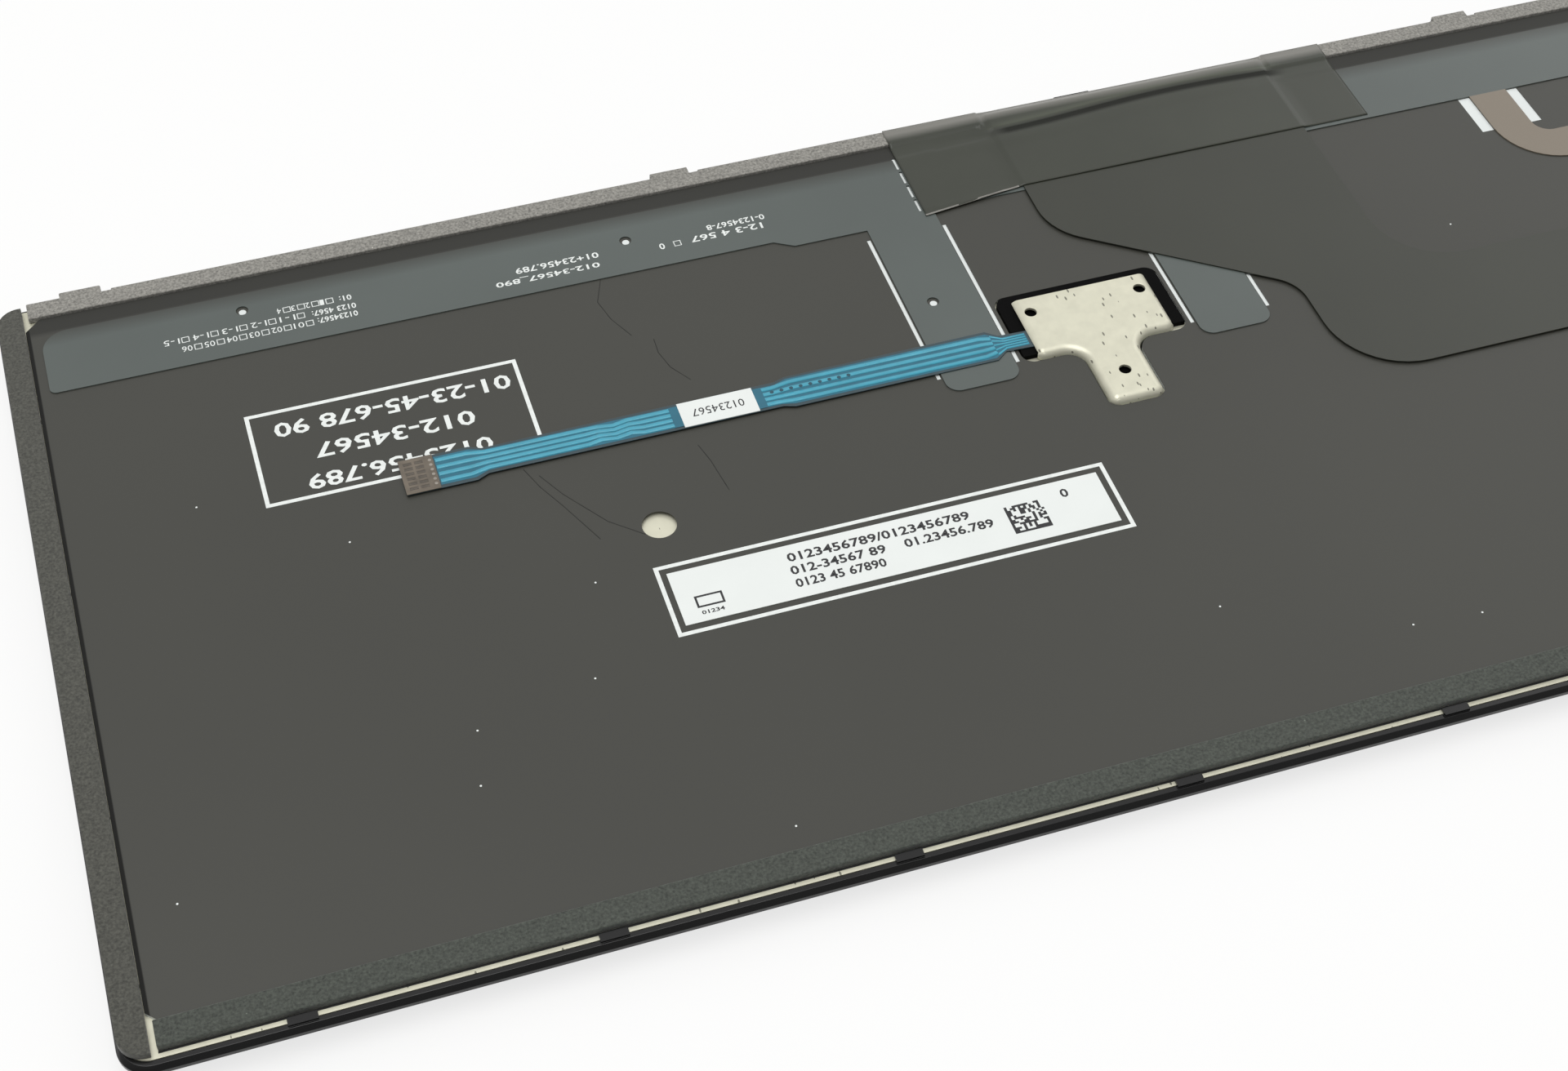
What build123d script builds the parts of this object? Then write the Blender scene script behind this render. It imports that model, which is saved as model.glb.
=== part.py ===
"""Framed, backlit laptop keyboard with a pointing stick, lying with its keys down.

Millimetres. +X runs along the key rows to the typist's right, +Y towards the edge with the space bar and
+Z out of the underside. The origin lies under the middle of the keyboard, level with the keycaps' tops.
"""

import math
import os
from collections import namedtuple

from build123d import *

# Key grid
KEY_PITCH = 18.85
ROW_PITCH = 18.5
FUNCTION_ROW_PITCH = 9.6
ROW_UNITS = 15
KEY_GAP = 2.8
KEY_CLEARANCE = 0.4
KEY_TRAVEL = 1.5
SIDE_MARGIN = 0.25
REAR_MARGIN = 1.7
FRONT_MARGIN = 4.6

# Keycap
CAP_HEIGHT = 2.0
CAP_WALL = 0.9
CAP_ROOF = 0.9
CAP_TAPER_DEG = 9.0
KEY_STAND = 1.4
PRESS_CLEARANCE = 0.1

# Switch under each key: a rubber dome and two crossed links
LINK_THICKNESS = 0.7
LINK_ARM = 1.0
LINK_BAR = 0.8
LINK_GAP = 0.2
LINK_SEAT_GAP = 0.02
LINK_WIDTH = 10.2
LINK_LENGTH = 8.6
SHORT_LINK_LENGTH = 4.2
DOME_RADIUS = 2.4
SHORT_DOME_RADIUS = 1.2
DOME_TIP_SHARE = 0.45
DOME_SIDES = 4
DOUBLE_SWITCH_UNITS = 2.5
STICK_SWITCH_SHIFT = 2.0

# Sheet thicknesses, from the keys outwards
MEMBRANE_T = 0.2
PLATE_T = 0.4
GUIDE_T = 0.3
REFLECTOR_T = 0.1
FILM_T = 0.1
LED_FLEX_T = 0.15
COVER_T = 0.1
STICKER_T = 0.08
STICK_FLEX_T = 0.15
STIFFENER_T = 0.2

# Bezel
CORNER_R = 3.4
RIM_HEIGHT = 1.0
LIP_LAND = 0.1
SIDE_DRAFT = 0.3
REAR_DRAFT = 1.4
FRONT_DRAFT = 1.4
LIP_SIDE = 0.7
LIP_REAR = 1.0
LIP_FRONT = 0.6
PLATE_CLEARANCE = 0.1
HOOK_UNITS = (-6.96, -2.98, 0.0, 2.98, 6.96)
HOOK_LENGTH = 5.0
HOOK_REACH = 0.7
HOOK_THICKNESS = 0.4
HOOK_ROOT = 0.5
HOOK_RELIEF = 1.2
SNAP_END_GAP = 17.65
SNAP_COUNT = 9
SNAP_LENGTH = 3.0
SNAP_REACH = 0.6
SNAP_HEIGHT = 0.3
SNAP_ROOT = 0.3

# Gaskets on the rim of the base plate
GASKET_EDGE_INSET = 0.25
BARE_REAR = 0.75
BARE_CORNER = 0.3
GASKET_SIDE_W = 2.95
GASKET_REAR_W = 3.05
GASKET_FRONT_W = 2.65
GASKET_TAB_INSET = 0.1
GASKET_CORNER_GAP = 0.6
GASKET_CORNER_R = 2.6
FILM_GAP = 0.1
FILM_CORNER_CUT = 1.8
FILM_REAR_CUT = 1.1

# Pointing stick, its bracket and the cut-out around it
STICK_UNITS = 6.75
STICK_SET_BACK = 0.6
STICK_HOLE_R = 4.2
STICK_RING_W = 1.0
STICK_CAP_R = 3.6
STICK_CAP_LOW = 0.3
STICK_CAP_H = 2.2
STICK_POST_R = 1.0
STICK_POST_SINK = 1.2
STICK_SOCKET_GAP = 0.05
POST_HOLE_R = 2.2
BOLT_CIRCLE_R = 8.3
BOLT_HOLE_R = 0.75
BOLT_RELIEF = 0.2
BRACKET_T = 0.4
BRACKET_BEND = 0.65
BRACKET_CORNER_R = 1.1
BRACKET_NECK_R = 2.4
BRACKET_SKIRT = 0.75
BRACKET_LIFT = 0.05
BRACKET_BAR_L = 18.1
BRACKET_BAR_FRONT = 6.6
BRACKET_BAR_REAR = 3.1
BRACKET_STEM_W = 7.0
BRACKET_STEM_END = 12.9
CUTOUT_END_GAP = 1.7
CUTOUT_FRONT_GAP = 1.6
CUTOUT_GAP = 0.2
CUTOUT_CORNER_R = 1.6
BOARD_GAP = 0.2

# Lamp strip: its band along the front edge, two tongues beside the stick, and its tail
STRIP_FRONT_GAP = 2.8
STRIP_DEPTH = 10.4
STRIP_END_GAP = 1.6
STRIP_FRONT_R = 3.2
STRIP_REAR_R = 0.8
STRIP_STEP_DEPTH = 1.4
STRIP_STEP_LENGTH = 9.6
STRIP_STEP_SLOPE = 2.4
TONGUE_GAP = 1.1
TONGUE_WIDTH = 9.3
TONGUE_REACH = 5.3
TONGUE_CORNER_R = 1.7
SLIT_WIDTH = 0.5
SLIT_GAP = 0.15
SLIT_START = 3.0
SLIT_SHORT = 2.6
LED_LENGTH = 2.6
LED_WIDTH = 1.0
LED_HEIGHT = 0.42
LED_SPREAD = 4.6
LED_INSET = 2.2
LED_WINDOW_GAP = 0.35
STRIP_HOLE_R = 0.75
STRIP_HOLES = ((-98.7, 33.4), (-50.8, 31.8), (-17.7, 10.0))
DASH_COUNT = 4
DASH_PITCH = 2.8
DASH_LENGTH = 2.3
DASH_WIDTH = 0.4
DASH_INSET = 0.1
DASH_FRONT_GAP = 2.4
LED_TAIL_OFFSET = 67.4
LED_TAIL_WIDTH = 5.4
LED_TAIL_FRONT = 16.7
LED_TAIL_BEND_R = 8.0
LED_TAIL_INNER_R = 2.2
LED_TAIL_END = 111.0
LED_SLOT_WIDTH = 1.7
LED_SLOT_LENGTH = 7.0

# Membrane tail: folded round the front edge, then a double bend to the right
TAIL_LEFT = 0.8
TAIL_RIGHT = 40.5
TAIL_BEND_START = 17.7
TAIL_SHIFT = 25.8
TAIL_BEND_END = -0.5
TAIL_FRONT = -1.2
TAIL_REAR = -17.3
TAIL_END = 116.0
TAIL_BEND_RADII = (8.0, 5.0, 9.5, 9.0)
FOLD_GAP = 0.12
STIFFENER_LENGTH = 8.0

# Cover tape over the folded tail
COVER_LEFT_LAP = 13.9
COVER_RIGHT_LAP = 9.4
COVER_REAR_LAP = 12.6
COVER_FLAP_DROP = 1.7

# Blue ribbon of the pointing stick: its route from under the bracket to the contacts, measured from the stick
RIBBON_LAP = 0.7
RIBBON_ROUTE = ((RIBBON_LAP - BRACKET_BAR_L / 2, 0.3), (-13.0, 0.5), (-40.0, 0.4), (-77.0, 0.3), (-86.0, 0.3))
RIBBON_WIDTHS = (2.8, 5.0, 4.1, 5.4)
RIBBON_SHOULDER = 1.4
RIBBON_STIFFENER_LENGTH = 4.0
RIBBON_LABEL_LENGTH = 9.2
RIBBON_LABEL_OFFSET = -48.2
RIBBON_LABEL_INSET = 0.1

# White sticker and the round hole, measured from the film's front left corner
LABEL_LEFT = 63.1
LABEL_FRONT = 61.4
LABEL_LENGTH = 51.5
LABEL_WIDTH = 7.7
PEEP_HOLE_LEFT = 64.4
PEEP_HOLE_FRONT = 54.1
PEEP_HOLE_R = 2.0
PEEP_WINDOW_GAP = 0.6

# Levels along Z, worked out from the sizes above
BEZEL_FRONT_Z = KEY_STAND
MEMBRANE_Z = CAP_HEIGHT + KEY_TRAVEL + PRESS_CLEARANCE
PLATE_Z = MEMBRANE_Z + MEMBRANE_T
GUIDE_Z = PLATE_Z + PLATE_T
REFLECTOR_Z = GUIDE_Z + GUIDE_T
FILM_Z = REFLECTOR_Z + REFLECTOR_T
LED_FLEX_Z = FILM_Z + FILM_T
TAIL_Z = LED_FLEX_Z + LED_FLEX_T
COVER_Z = TAIL_Z + MEMBRANE_T
RIBBON_Z = TAIL_Z
BRACKET_Z = RIBBON_Z + STICK_FLEX_T + BRACKET_LIFT
BRACKET_INNER_BEND = BRACKET_BEND - BRACKET_T * (2 - math.sqrt(2))

# Places in plan, worked out from the sizes above
WIDTH = ROW_UNITS * KEY_PITCH + 2 * SIDE_MARGIN
GRID_DEPTH = FUNCTION_ROW_PITCH + 5 * ROW_PITCH
DEPTH = REAR_MARGIN + GRID_DEPTH + FRONT_MARGIN
REAR_Y = -(DEPTH + HOOK_REACH) / 2
FRONT_Y = REAR_Y + DEPTH
GRID_LEFT_X = -WIDTH / 2 + SIDE_MARGIN
GRID_REAR_Y = REAR_Y + REAR_MARGIN
ROW_REAR_Y = [GRID_REAR_Y] + [GRID_REAR_Y + FUNCTION_ROW_PITCH + row * ROW_PITCH for row in range(6)]
STICK_X = GRID_LEFT_X + STICK_UNITS * KEY_PITCH
STICK_Y = ROW_REAR_Y[4] - STICK_SET_BACK
PLATE_LEFT_X = -WIDTH / 2 + LIP_SIDE + PLATE_CLEARANCE
PLATE_REAR_Y = REAR_Y + LIP_REAR + PLATE_CLEARANCE
PLATE_FRONT_Y = FRONT_Y - LIP_FRONT - PLATE_CLEARANCE
GASKET_LEFT_X = -WIDTH / 2 + GASKET_EDGE_INSET
GASKET_FRONT_Y = FRONT_Y - GASKET_EDGE_INSET
FILM_LEFT_X = GASKET_LEFT_X + GASKET_SIDE_W + FILM_GAP
FILM_REAR_Y = PLATE_REAR_Y + BARE_REAR + GASKET_REAR_W + FILM_GAP
FILM_FRONT_Y = GASKET_FRONT_Y - GASKET_FRONT_W - FILM_GAP
TONGUE_OFFSET = BRACKET_BAR_L / 2 + CUTOUT_END_GAP + TONGUE_GAP + TONGUE_WIDTH / 2
STRIP_FRONT_Y = FILM_FRONT_Y - STRIP_FRONT_GAP
STRIP_REAR_Y = STRIP_FRONT_Y - STRIP_DEPTH
FOLD_R = (COVER_Z - MEMBRANE_Z) / 2
FOLD_Y = PLATE_FRONT_Y - FOLD_R - FOLD_GAP

Cell = namedtuple("Cell", "left right rear front")
Key = namedtuple("Key", "name cells")

FUNCTION_ROW = "escape f1 f2 f3 f4 f5 f6 f7 f8 f9 f10 f11 f12 print insert delete".split()
LETTER_ROWS = (
    "grave 1 2 3 4 5 6 7 8 9 0 minus equals backspace".split(),
    "tab q w e r t y u i o p bracket_open bracket_close".split(),
    "caps_lock a s d f g h j k l semicolon quote hash".split(),
    "shift_left less z x c v b n m comma period slash shift_right".split(),
    "fn control_left super alt_left space alt_right menu control_right".split(),
)
WIDE_KEYS = {
    "backspace": 2.0,
    "tab": 1.5,
    "caps_lock": 1.75,
    "shift_left": 1.25,
    "shift_right": 2.75,
    "space": 5.0,
}
ARROW_ROWS = ("page_up up page_down".split(), "left down right".split())
ENTER_TOP_UNITS = 1.5
ENTER_FOOT_UNITS = 1.25
STICK_KEYS = ("g", "h", "b")
MOVING_KEYS = set("abcdefghijklmnopqrstuvwxyz") | {
    "space", "enter", "shift_left", "shift_right", "up", "down", "left", "right",
}


def lay_row(names, units, left, rear, front):
    """Keys side by side from the left, each as wide as its number of key units."""
    keys = []
    for name, unit in zip(names, units):
        right = left + unit * KEY_PITCH
        keys.append(Key(name, (Cell(left, right, rear, front),)))
        left = right
    return keys


def lay_keys():
    """All keys, row by row from the rear edge to the front edge."""
    function_unit = ROW_UNITS / len(FUNCTION_ROW)
    units = [function_unit] * len(FUNCTION_ROW)
    keys = lay_row(FUNCTION_ROW, units, GRID_LEFT_X, ROW_REAR_Y[0], ROW_REAR_Y[1])
    for row, names in enumerate(LETTER_ROWS, start=1):
        units = [WIDE_KEYS.get(name, 1.0) for name in names]
        keys += lay_row(names, units, GRID_LEFT_X, ROW_REAR_Y[row], ROW_REAR_Y[row + 1])

    grid_right = GRID_LEFT_X + ROW_UNITS * KEY_PITCH
    top_left = grid_right - ENTER_TOP_UNITS * KEY_PITCH
    foot_left = grid_right - ENTER_FOOT_UNITS * KEY_PITCH
    enter_top = Cell(top_left, grid_right, ROW_REAR_Y[2], ROW_REAR_Y[3])
    enter_foot = Cell(foot_left, grid_right, ROW_REAR_Y[2], ROW_REAR_Y[4])
    keys.append(Key("enter", (enter_foot, enter_top)))

    half_row = ROW_PITCH / 2
    for half, names in enumerate(ARROW_ROWS):
        rear = ROW_REAR_Y[5] + half * half_row
        left = grid_right - len(names) * KEY_PITCH
        keys += lay_row(names, [1.0] * len(names), left, rear, rear + half_row)
    return keys


def rectangle(left, right, rear, front):
    """Face between two X and two Y values."""
    middle = Pos((left + right) / 2, (rear + front) / 2)
    return middle * Rectangle(right - left, front - rear)


def rounded(left, right, rear, front, radius):
    """Face with four rounded corners between two X and two Y values."""
    middle = Pos((left + right) / 2, (rear + front) / 2)
    return middle * RectangleRounded(right - left, front - rear, radius)


def sheet(face, z, thickness):
    """Flat sheet of one outline, standing on level z."""
    return extrude(Pos(0, 0, z) * face, thickness)


def stick_notch(grow):
    """Round face that keeps the keys beside the stick clear of its ring, smaller as a key's plan grows."""
    return Pos(STICK_X, STICK_Y) * Circle(STICK_HOLE_R + STICK_RING_W + KEY_CLEARANCE - grow)


def key_plan(key, grow):
    """Outline of a keycap, made larger by grow. Keys beside the stick are notched round its ring."""
    inset = KEY_GAP / 2 - grow
    plan = Sketch()
    for cell in key.cells:
        plan += rectangle(cell.left + inset, cell.right - inset, cell.rear + inset, cell.front - inset)
    if key.name in STICK_KEYS:
        plan -= stick_notch(grow)
    return plan


def flat_sided(lower, upper):
    """Solid between two polygons with the same number of corners, closed by flat sides."""
    faces = [Face(Wire.make_polygon(lower)), Face(Wire.make_polygon(upper))]
    for corner in range(len(lower)):
        side = (lower[corner - 1], lower[corner], upper[corner], upper[corner - 1])
        faces.append(Face(Wire.make_polygon(side)))
    return Solid(Shell(faces))


def cap_corners(cell, inset, z):
    """Corners of a plain keycap on level z, set in from the edge of its skirt."""
    gap = KEY_GAP / 2 + inset
    left, right, rear, front = cell.left + gap, cell.right - gap, cell.rear + gap, cell.front - gap
    return [(left, rear, z), (right, rear, z), (right, front, z), (left, front, z)]


def keycap(key):
    """Hollow cap, wide at its skirt and tapered to its top face."""
    if len(key.cells) == 1:
        top_inset = CAP_HEIGHT * math.tan(math.radians(CAP_TAPER_DEG))
        skirt = cap_corners(key.cells[0], 0, CAP_HEIGHT)
        top = cap_corners(key.cells[0], top_inset, 0)
        body = flat_sided(skirt, top)
    else:
        body = extrude(Pos(0, 0, CAP_HEIGHT) * key_plan(key, 0), -CAP_HEIGHT, taper=CAP_TAPER_DEG)
    if key.name in STICK_KEYS:
        body -= sheet(stick_notch(0), 0, CAP_HEIGHT)
    return body - sheet(key_plan(key, -CAP_WALL), CAP_ROOF, CAP_HEIGHT - CAP_ROOF)


def switch_places(key):
    """Centres of the switches under a key: one, or two under a long key."""
    cell = key.cells[0]
    middle_x = (cell.left + cell.right) / 2
    middle_y = (cell.rear + cell.front) / 2
    if key.name in STICK_KEYS:
        middle_y += STICK_SWITCH_SHIFT if middle_y > STICK_Y else -STICK_SET_BACK
    width = cell.right - cell.left
    if width > DOUBLE_SWITCH_UNITS * KEY_PITCH:
        return [(middle_x - width / 4, middle_y), (middle_x + width / 4, middle_y)]
    return [(middle_x, middle_y)]


def is_short(key):
    """Whether a key is half a row deep and takes the short links."""
    return all(cell.front - cell.rear < ROW_PITCH - KEY_GAP for cell in key.cells)


def link(width, length, tilt):
    """U-shaped link, tilted about its pivot in the middle. Its bar is the end at -Y."""
    opening = Pos(0, LINK_BAR) * Rectangle(width - 2 * LINK_ARM, length)
    flat = extrude(Rectangle(width, length) - opening, LINK_THICKNESS / 2, both=True)
    return Rot(tilt, 0, 0) * flat


def link_tilt(length):
    """Angle at which a link reaches from the membrane to the underside of the cap's roof."""
    reach = (MEMBRANE_Z - CAP_ROOF) / 2 - LINK_SEAT_GAP
    corner = math.hypot(length / 2, LINK_THICKNESS / 2)
    return math.degrees(math.asin(reach / corner) - math.atan2(LINK_THICKNESS, length))


def link_pair(length):
    """Crossed outer and inner link about one pivot, with their bars on the membrane."""
    tilt = link_tilt(length)
    outer = link(LINK_WIDTH, length, -tilt)
    inner = link(LINK_WIDTH - 2 * (LINK_ARM + LINK_GAP), length, -tilt)
    return outer, Rot(0, 0, 180) * inner


def polygon_points(radius, z):
    """Corners of a dome's outline on level z."""
    turns = [2 * math.pi * side / DOME_SIDES for side in range(DOME_SIDES)]
    return [(radius * math.cos(turn), radius * math.sin(turn), z) for turn in turns]


def dome(radius):
    """Faceted rubber dome from the membrane to the underside of the cap's roof."""
    foot = polygon_points(radius, MEMBRANE_Z)
    tip = polygon_points(radius * DOME_TIP_SHARE, CAP_ROOF)
    return flat_sided(foot, tip)


def make_switches(keys):
    """Domes of all keys, and the outer and inner links of the keys that move, as three lists."""
    sets = {
        True: (*link_pair(SHORT_LINK_LENGTH), dome(SHORT_DOME_RADIUS)),
        False: (*link_pair(LINK_LENGTH), dome(DOME_RADIUS)),
    }
    pivot_z = (MEMBRANE_Z + CAP_ROOF) / 2
    outers, inners, domes = [], [], []
    for key in keys:
        outer, inner, rubber = sets[is_short(key)]
        for x, y in switch_places(key):
            domes.append(Pos(x, y, 0) * rubber)
            if key.name in MOVING_KEYS:
                outers.append(Pos(x, y, pivot_z) * outer)
                inners.append(Pos(x, y, pivot_z) * inner)
    return outers, inners, domes


def plate_outline(gap):
    """Outline of the base plate, made larger by gap."""
    radius = CORNER_R - LIP_SIDE - PLATE_CLEARANCE + gap
    half = -PLATE_LEFT_X + gap
    return rounded(-half, half, PLATE_REAR_Y - gap, PLATE_FRONT_Y + gap, radius)


def hook_plan(inset):
    """Plan of the hooks along the front edge, set in at their tips."""
    hooks = Sketch()
    for units in HOOK_UNITS:
        left = units * KEY_PITCH - HOOK_LENGTH / 2
        hooks += rectangle(left, left + HOOK_LENGTH, FRONT_Y - HOOK_ROOT, FRONT_Y + HOOK_REACH - inset)
    return hooks


def hook_reliefs():
    """Plan of the notch to the right of each hook."""
    notches = Sketch()
    for units in HOOK_UNITS:
        left = units * KEY_PITCH + HOOK_LENGTH / 2
        notches += rectangle(left, left + HOOK_RELIEF, FRONT_Y - HOOK_ROOT, FRONT_Y)
    return notches


def make_bezel(keys):
    """Moulded frame: a cell for each key, a drafted outside, a bevelled lip, hooks and snap nibs."""
    rim_z = GUIDE_Z - RIM_HEIGHT
    half = WIDTH / 2
    half_face = half - SIDE_DRAFT
    face = rounded(-half_face, half_face, REAR_Y + REAR_DRAFT, FRONT_Y - FRONT_DRAFT, CORNER_R)
    rim = rounded(-half, half, REAR_Y, FRONT_Y, CORNER_R)
    lower = loft([Pos(0, 0, BEZEL_FRONT_Z) * face, Pos(0, 0, rim_z) * rim], ruled=True)
    upper = sheet(rim, rim_z, RIM_HEIGHT)
    upper = chamfer(upper.edges().group_by(Axis.Z)[-1], LIP_FRONT - LIP_LAND)
    body = lower + upper
    body -= sheet(plate_outline(PLATE_CLEARANCE), MEMBRANE_Z, GUIDE_Z - MEMBRANE_Z)

    cells = [key_plan(key, KEY_CLEARANCE) for key in keys]
    cells.append(Pos(STICK_X, STICK_Y) * Circle(STICK_HOLE_R))
    body -= [sheet(cell, BEZEL_FRONT_Z, MEMBRANE_Z - BEZEL_FRONT_Z) for cell in cells]

    body -= sheet(hook_reliefs(), rim_z, RIM_HEIGHT)
    body += sheet(hook_plan(0), GUIDE_Z - HOOK_THICKNESS, HOOK_THICKNESS)

    lip_inside = REAR_Y + LIP_REAR
    snap_pitch = (WIDTH - 2 * SNAP_END_GAP) / (SNAP_COUNT - 1)
    for spot in GridLocations(snap_pitch, 0, SNAP_COUNT, 1):
        left = spot.position.X - SNAP_LENGTH / 2
        right = left + SNAP_LENGTH
        nib = rectangle(left, right, lip_inside - SNAP_ROOT, lip_inside + SNAP_REACH)
        body += sheet(nib, GUIDE_Z, SNAP_HEIGHT)
    return body


def at_bolts(shape):
    """One face at each of three places on the bracket's bolt circle, one of them towards the rear."""
    faces = Sketch()
    for place in PolarLocations(BOLT_CIRCLE_R, 3, start_angle=-90, rotate=False):
        faces += Pos(STICK_X, STICK_Y) * place * shape
    return faces


def fold_recess():
    """Bay at the front edge for the folded tail."""
    left = STICK_X + TAIL_LEFT - FOLD_GAP
    right = STICK_X + TAIL_RIGHT + FOLD_GAP
    return rectangle(left, right, FOLD_Y, PLATE_FRONT_Y + PLATE_CLEARANCE)


def make_base_plate():
    """Stamped plate with a hole for the stick and a bay for the folded tail."""
    face = plate_outline(0) - fold_recess()
    face -= Pos(STICK_X, STICK_Y) * Circle(POST_HOLE_R)
    return sheet(face, PLATE_Z, PLATE_T)


def tail_outline():
    """Plan of the membrane's tail on the back: down, a double bend and off to the right."""
    left = STICK_X + TAIL_LEFT
    right = STICK_X + TAIL_RIGHT
    knee = left + TAIL_SHIFT
    end = STICK_X + TAIL_END
    points = (
        (left, FOLD_Y),
        (left, STICK_Y + TAIL_BEND_START),
        (knee, STICK_Y + TAIL_BEND_END),
        (knee, STICK_Y + TAIL_REAR),
        (end, STICK_Y + TAIL_REAR),
        (end, STICK_Y + TAIL_FRONT),
        (right, STICK_Y + TAIL_FRONT),
        (right, FOLD_Y),
    )
    first, second, third, last = TAIL_BEND_RADII
    edge = FilletPolyline(*points, radius=(first, second, third, 0, 0, last))
    return make_face(edge + Line(points[-1], points[0]))


def make_membrane():
    """Key membrane with its tail folded round the front edge on to the back."""
    face = plate_outline(0) - fold_recess()
    face -= Pos(STICK_X, STICK_Y) * Circle(POST_HOLE_R)
    flat = sheet(face, MEMBRANE_Z, MEMBRANE_T)

    width = TAIL_RIGHT - TAIL_LEFT
    ring = Circle(FOLD_R) - Circle(FOLD_R - MEMBRANE_T)
    half = ring & rectangle(0, FOLD_R, -FOLD_R, FOLD_R)
    start = Plane((STICK_X + TAIL_LEFT, FOLD_Y, MEMBRANE_Z + FOLD_R), x_dir=(0, 1, 0), z_dir=(1, 0, 0))
    fold = extrude(start * half, width)
    return flat + fold + sheet(tail_outline(), TAIL_Z, MEMBRANE_T)


def bracket_outline(end_gap, front_gap, gap, front_r=0, rear_r=0, neck_r=0):
    """T-shaped outline of the stick's bracket, larger by a gap at its ends, its front and elsewhere."""
    half_bar = BRACKET_BAR_L / 2 + end_gap
    half_stem = BRACKET_STEM_W / 2 + gap
    front = BRACKET_BAR_FRONT + front_gap
    rear = -BRACKET_BAR_REAR - gap
    end = -BRACKET_STEM_END - gap
    corners = ((half_bar, front), (half_bar, rear), (half_stem, rear), (half_stem, end))
    edge = FilletPolyline((0, front), *corners, (0, end), radius=(front_r, rear_r, neck_r, rear_r))
    right = make_face(edge + Line((0, end), (0, front)))
    return Pos(STICK_X, STICK_Y) * (right + mirror(right, Plane.YZ))


def bend_rear(block, bend):
    """Bevel the top edges behind the stick, where the bracket is bent down."""
    bends = block.edges().group_by(Axis.Z)[-1].filter_by(lambda edge: edge.center().Y < STICK_Y)
    return chamfer(bends, bend)


def make_bracket():
    """Pressed T-shaped plate with three holes. Its rear edges are bent down into the cut-out."""
    outline = bracket_outline(0, 0, 0, 0, BRACKET_CORNER_R, BRACKET_NECK_R)
    block = sheet(outline, BRACKET_Z - BRACKET_SKIRT, BRACKET_SKIRT + BRACKET_T)
    inside_outline = bracket_outline(CUTOUT_END_GAP, CUTOUT_FRONT_GAP, -BRACKET_T)
    inside = sheet(inside_outline, BRACKET_Z - BRACKET_SKIRT, BRACKET_SKIRT)
    shell = bend_rear(block, BRACKET_BEND) - bend_rear(inside, BRACKET_INNER_BEND)
    return shell - sheet(at_bolts(Circle(BOLT_HOLE_R)), BRACKET_Z, BRACKET_T)


def make_sensor():
    """Strain-gauge board in the cut-out, with square openings for the screws and the post for the cap."""
    end_gap = CUTOUT_END_GAP - BOARD_GAP
    front_gap = CUTOUT_FRONT_GAP - BOARD_GAP
    bend_inset = BRACKET_INNER_BEND - (BRACKET_Z - RIBBON_Z)
    rear_gap = -BRACKET_T - bend_inset - BOARD_GAP
    face = bracket_outline(end_gap, front_gap, rear_gap, CUTOUT_CORNER_R - BOARD_GAP)
    opening = 2 * (BOLT_HOLE_R + BOLT_RELIEF)
    board = sheet(face - at_bolts(Rectangle(opening, opening)), GUIDE_Z, RIBBON_Z - GUIDE_Z)
    post_face = Pos(STICK_X, STICK_Y) * Circle(STICK_POST_R)
    post = sheet(post_face, STICK_POST_SINK, GUIDE_Z - STICK_POST_SINK)
    return board + post


def make_stick_cap():
    """Rubber cap with a socket for the post."""
    blank = sheet(Circle(STICK_CAP_R), 0, STICK_CAP_H)
    cap = Pos(STICK_X, STICK_Y, STICK_CAP_LOW) * blank
    socket = Pos(STICK_X, STICK_Y) * Circle(STICK_POST_R + STICK_SOCKET_GAP)
    return cap - sheet(socket, STICK_POST_SINK, STICK_CAP_LOW + STICK_CAP_H - STICK_POST_SINK)


def tongue_places():
    """X of the two tongues, left and right of the stick."""
    return (STICK_X - TONGUE_OFFSET, STICK_X + TONGUE_OFFSET)


def led_places():
    """Centres of the lamps, two near the end of each tongue."""
    y = STICK_Y - TONGUE_REACH + LED_INSET
    return [(x + side * LED_SPREAD / 2, y) for x in tongue_places() for side in (-1, 1)]


def led_windows():
    """Openings for the lamps in the sheets under the tongues."""
    length = LED_LENGTH + 2 * LED_WINDOW_GAP
    width = LED_WIDTH + 2 * LED_WINDOW_GAP
    windows = Sketch()
    for x, y in led_places():
        windows += Pos(x, y) * Rectangle(length, width)
    return windows


def led_tail_outline():
    """Plan of the lamp strip's tail: out of the band, one bend and off to the right."""
    left = STICK_X + LED_TAIL_OFFSET - LED_TAIL_WIDTH / 2
    right = left + LED_TAIL_WIDTH
    front = STICK_Y + LED_TAIL_FRONT
    end = STICK_X + LED_TAIL_END
    points = (
        (left, STRIP_REAR_Y + STRIP_DEPTH / 2),
        (left, front - LED_TAIL_WIDTH),
        (end, front - LED_TAIL_WIDTH),
        (end, front),
        (right, front),
        (right, STRIP_REAR_Y + STRIP_DEPTH / 2),
    )
    edge = FilletPolyline(*points, radius=(LED_TAIL_BEND_R, 0, 0, LED_TAIL_INNER_R))
    return make_face(edge + Line(points[-1], points[0]))


def dashes():
    """Row of short slots beside the left edge of the cover tape."""
    x = STICK_X + TAIL_LEFT - COVER_LEFT_LAP - DASH_INSET
    row = Sketch()
    for place in range(DASH_COUNT):
        front = FILM_FRONT_Y - DASH_FRONT_GAP - place * DASH_PITCH
        row += rectangle(x - DASH_WIDTH, x, front - DASH_LENGTH, front)
    return row


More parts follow.
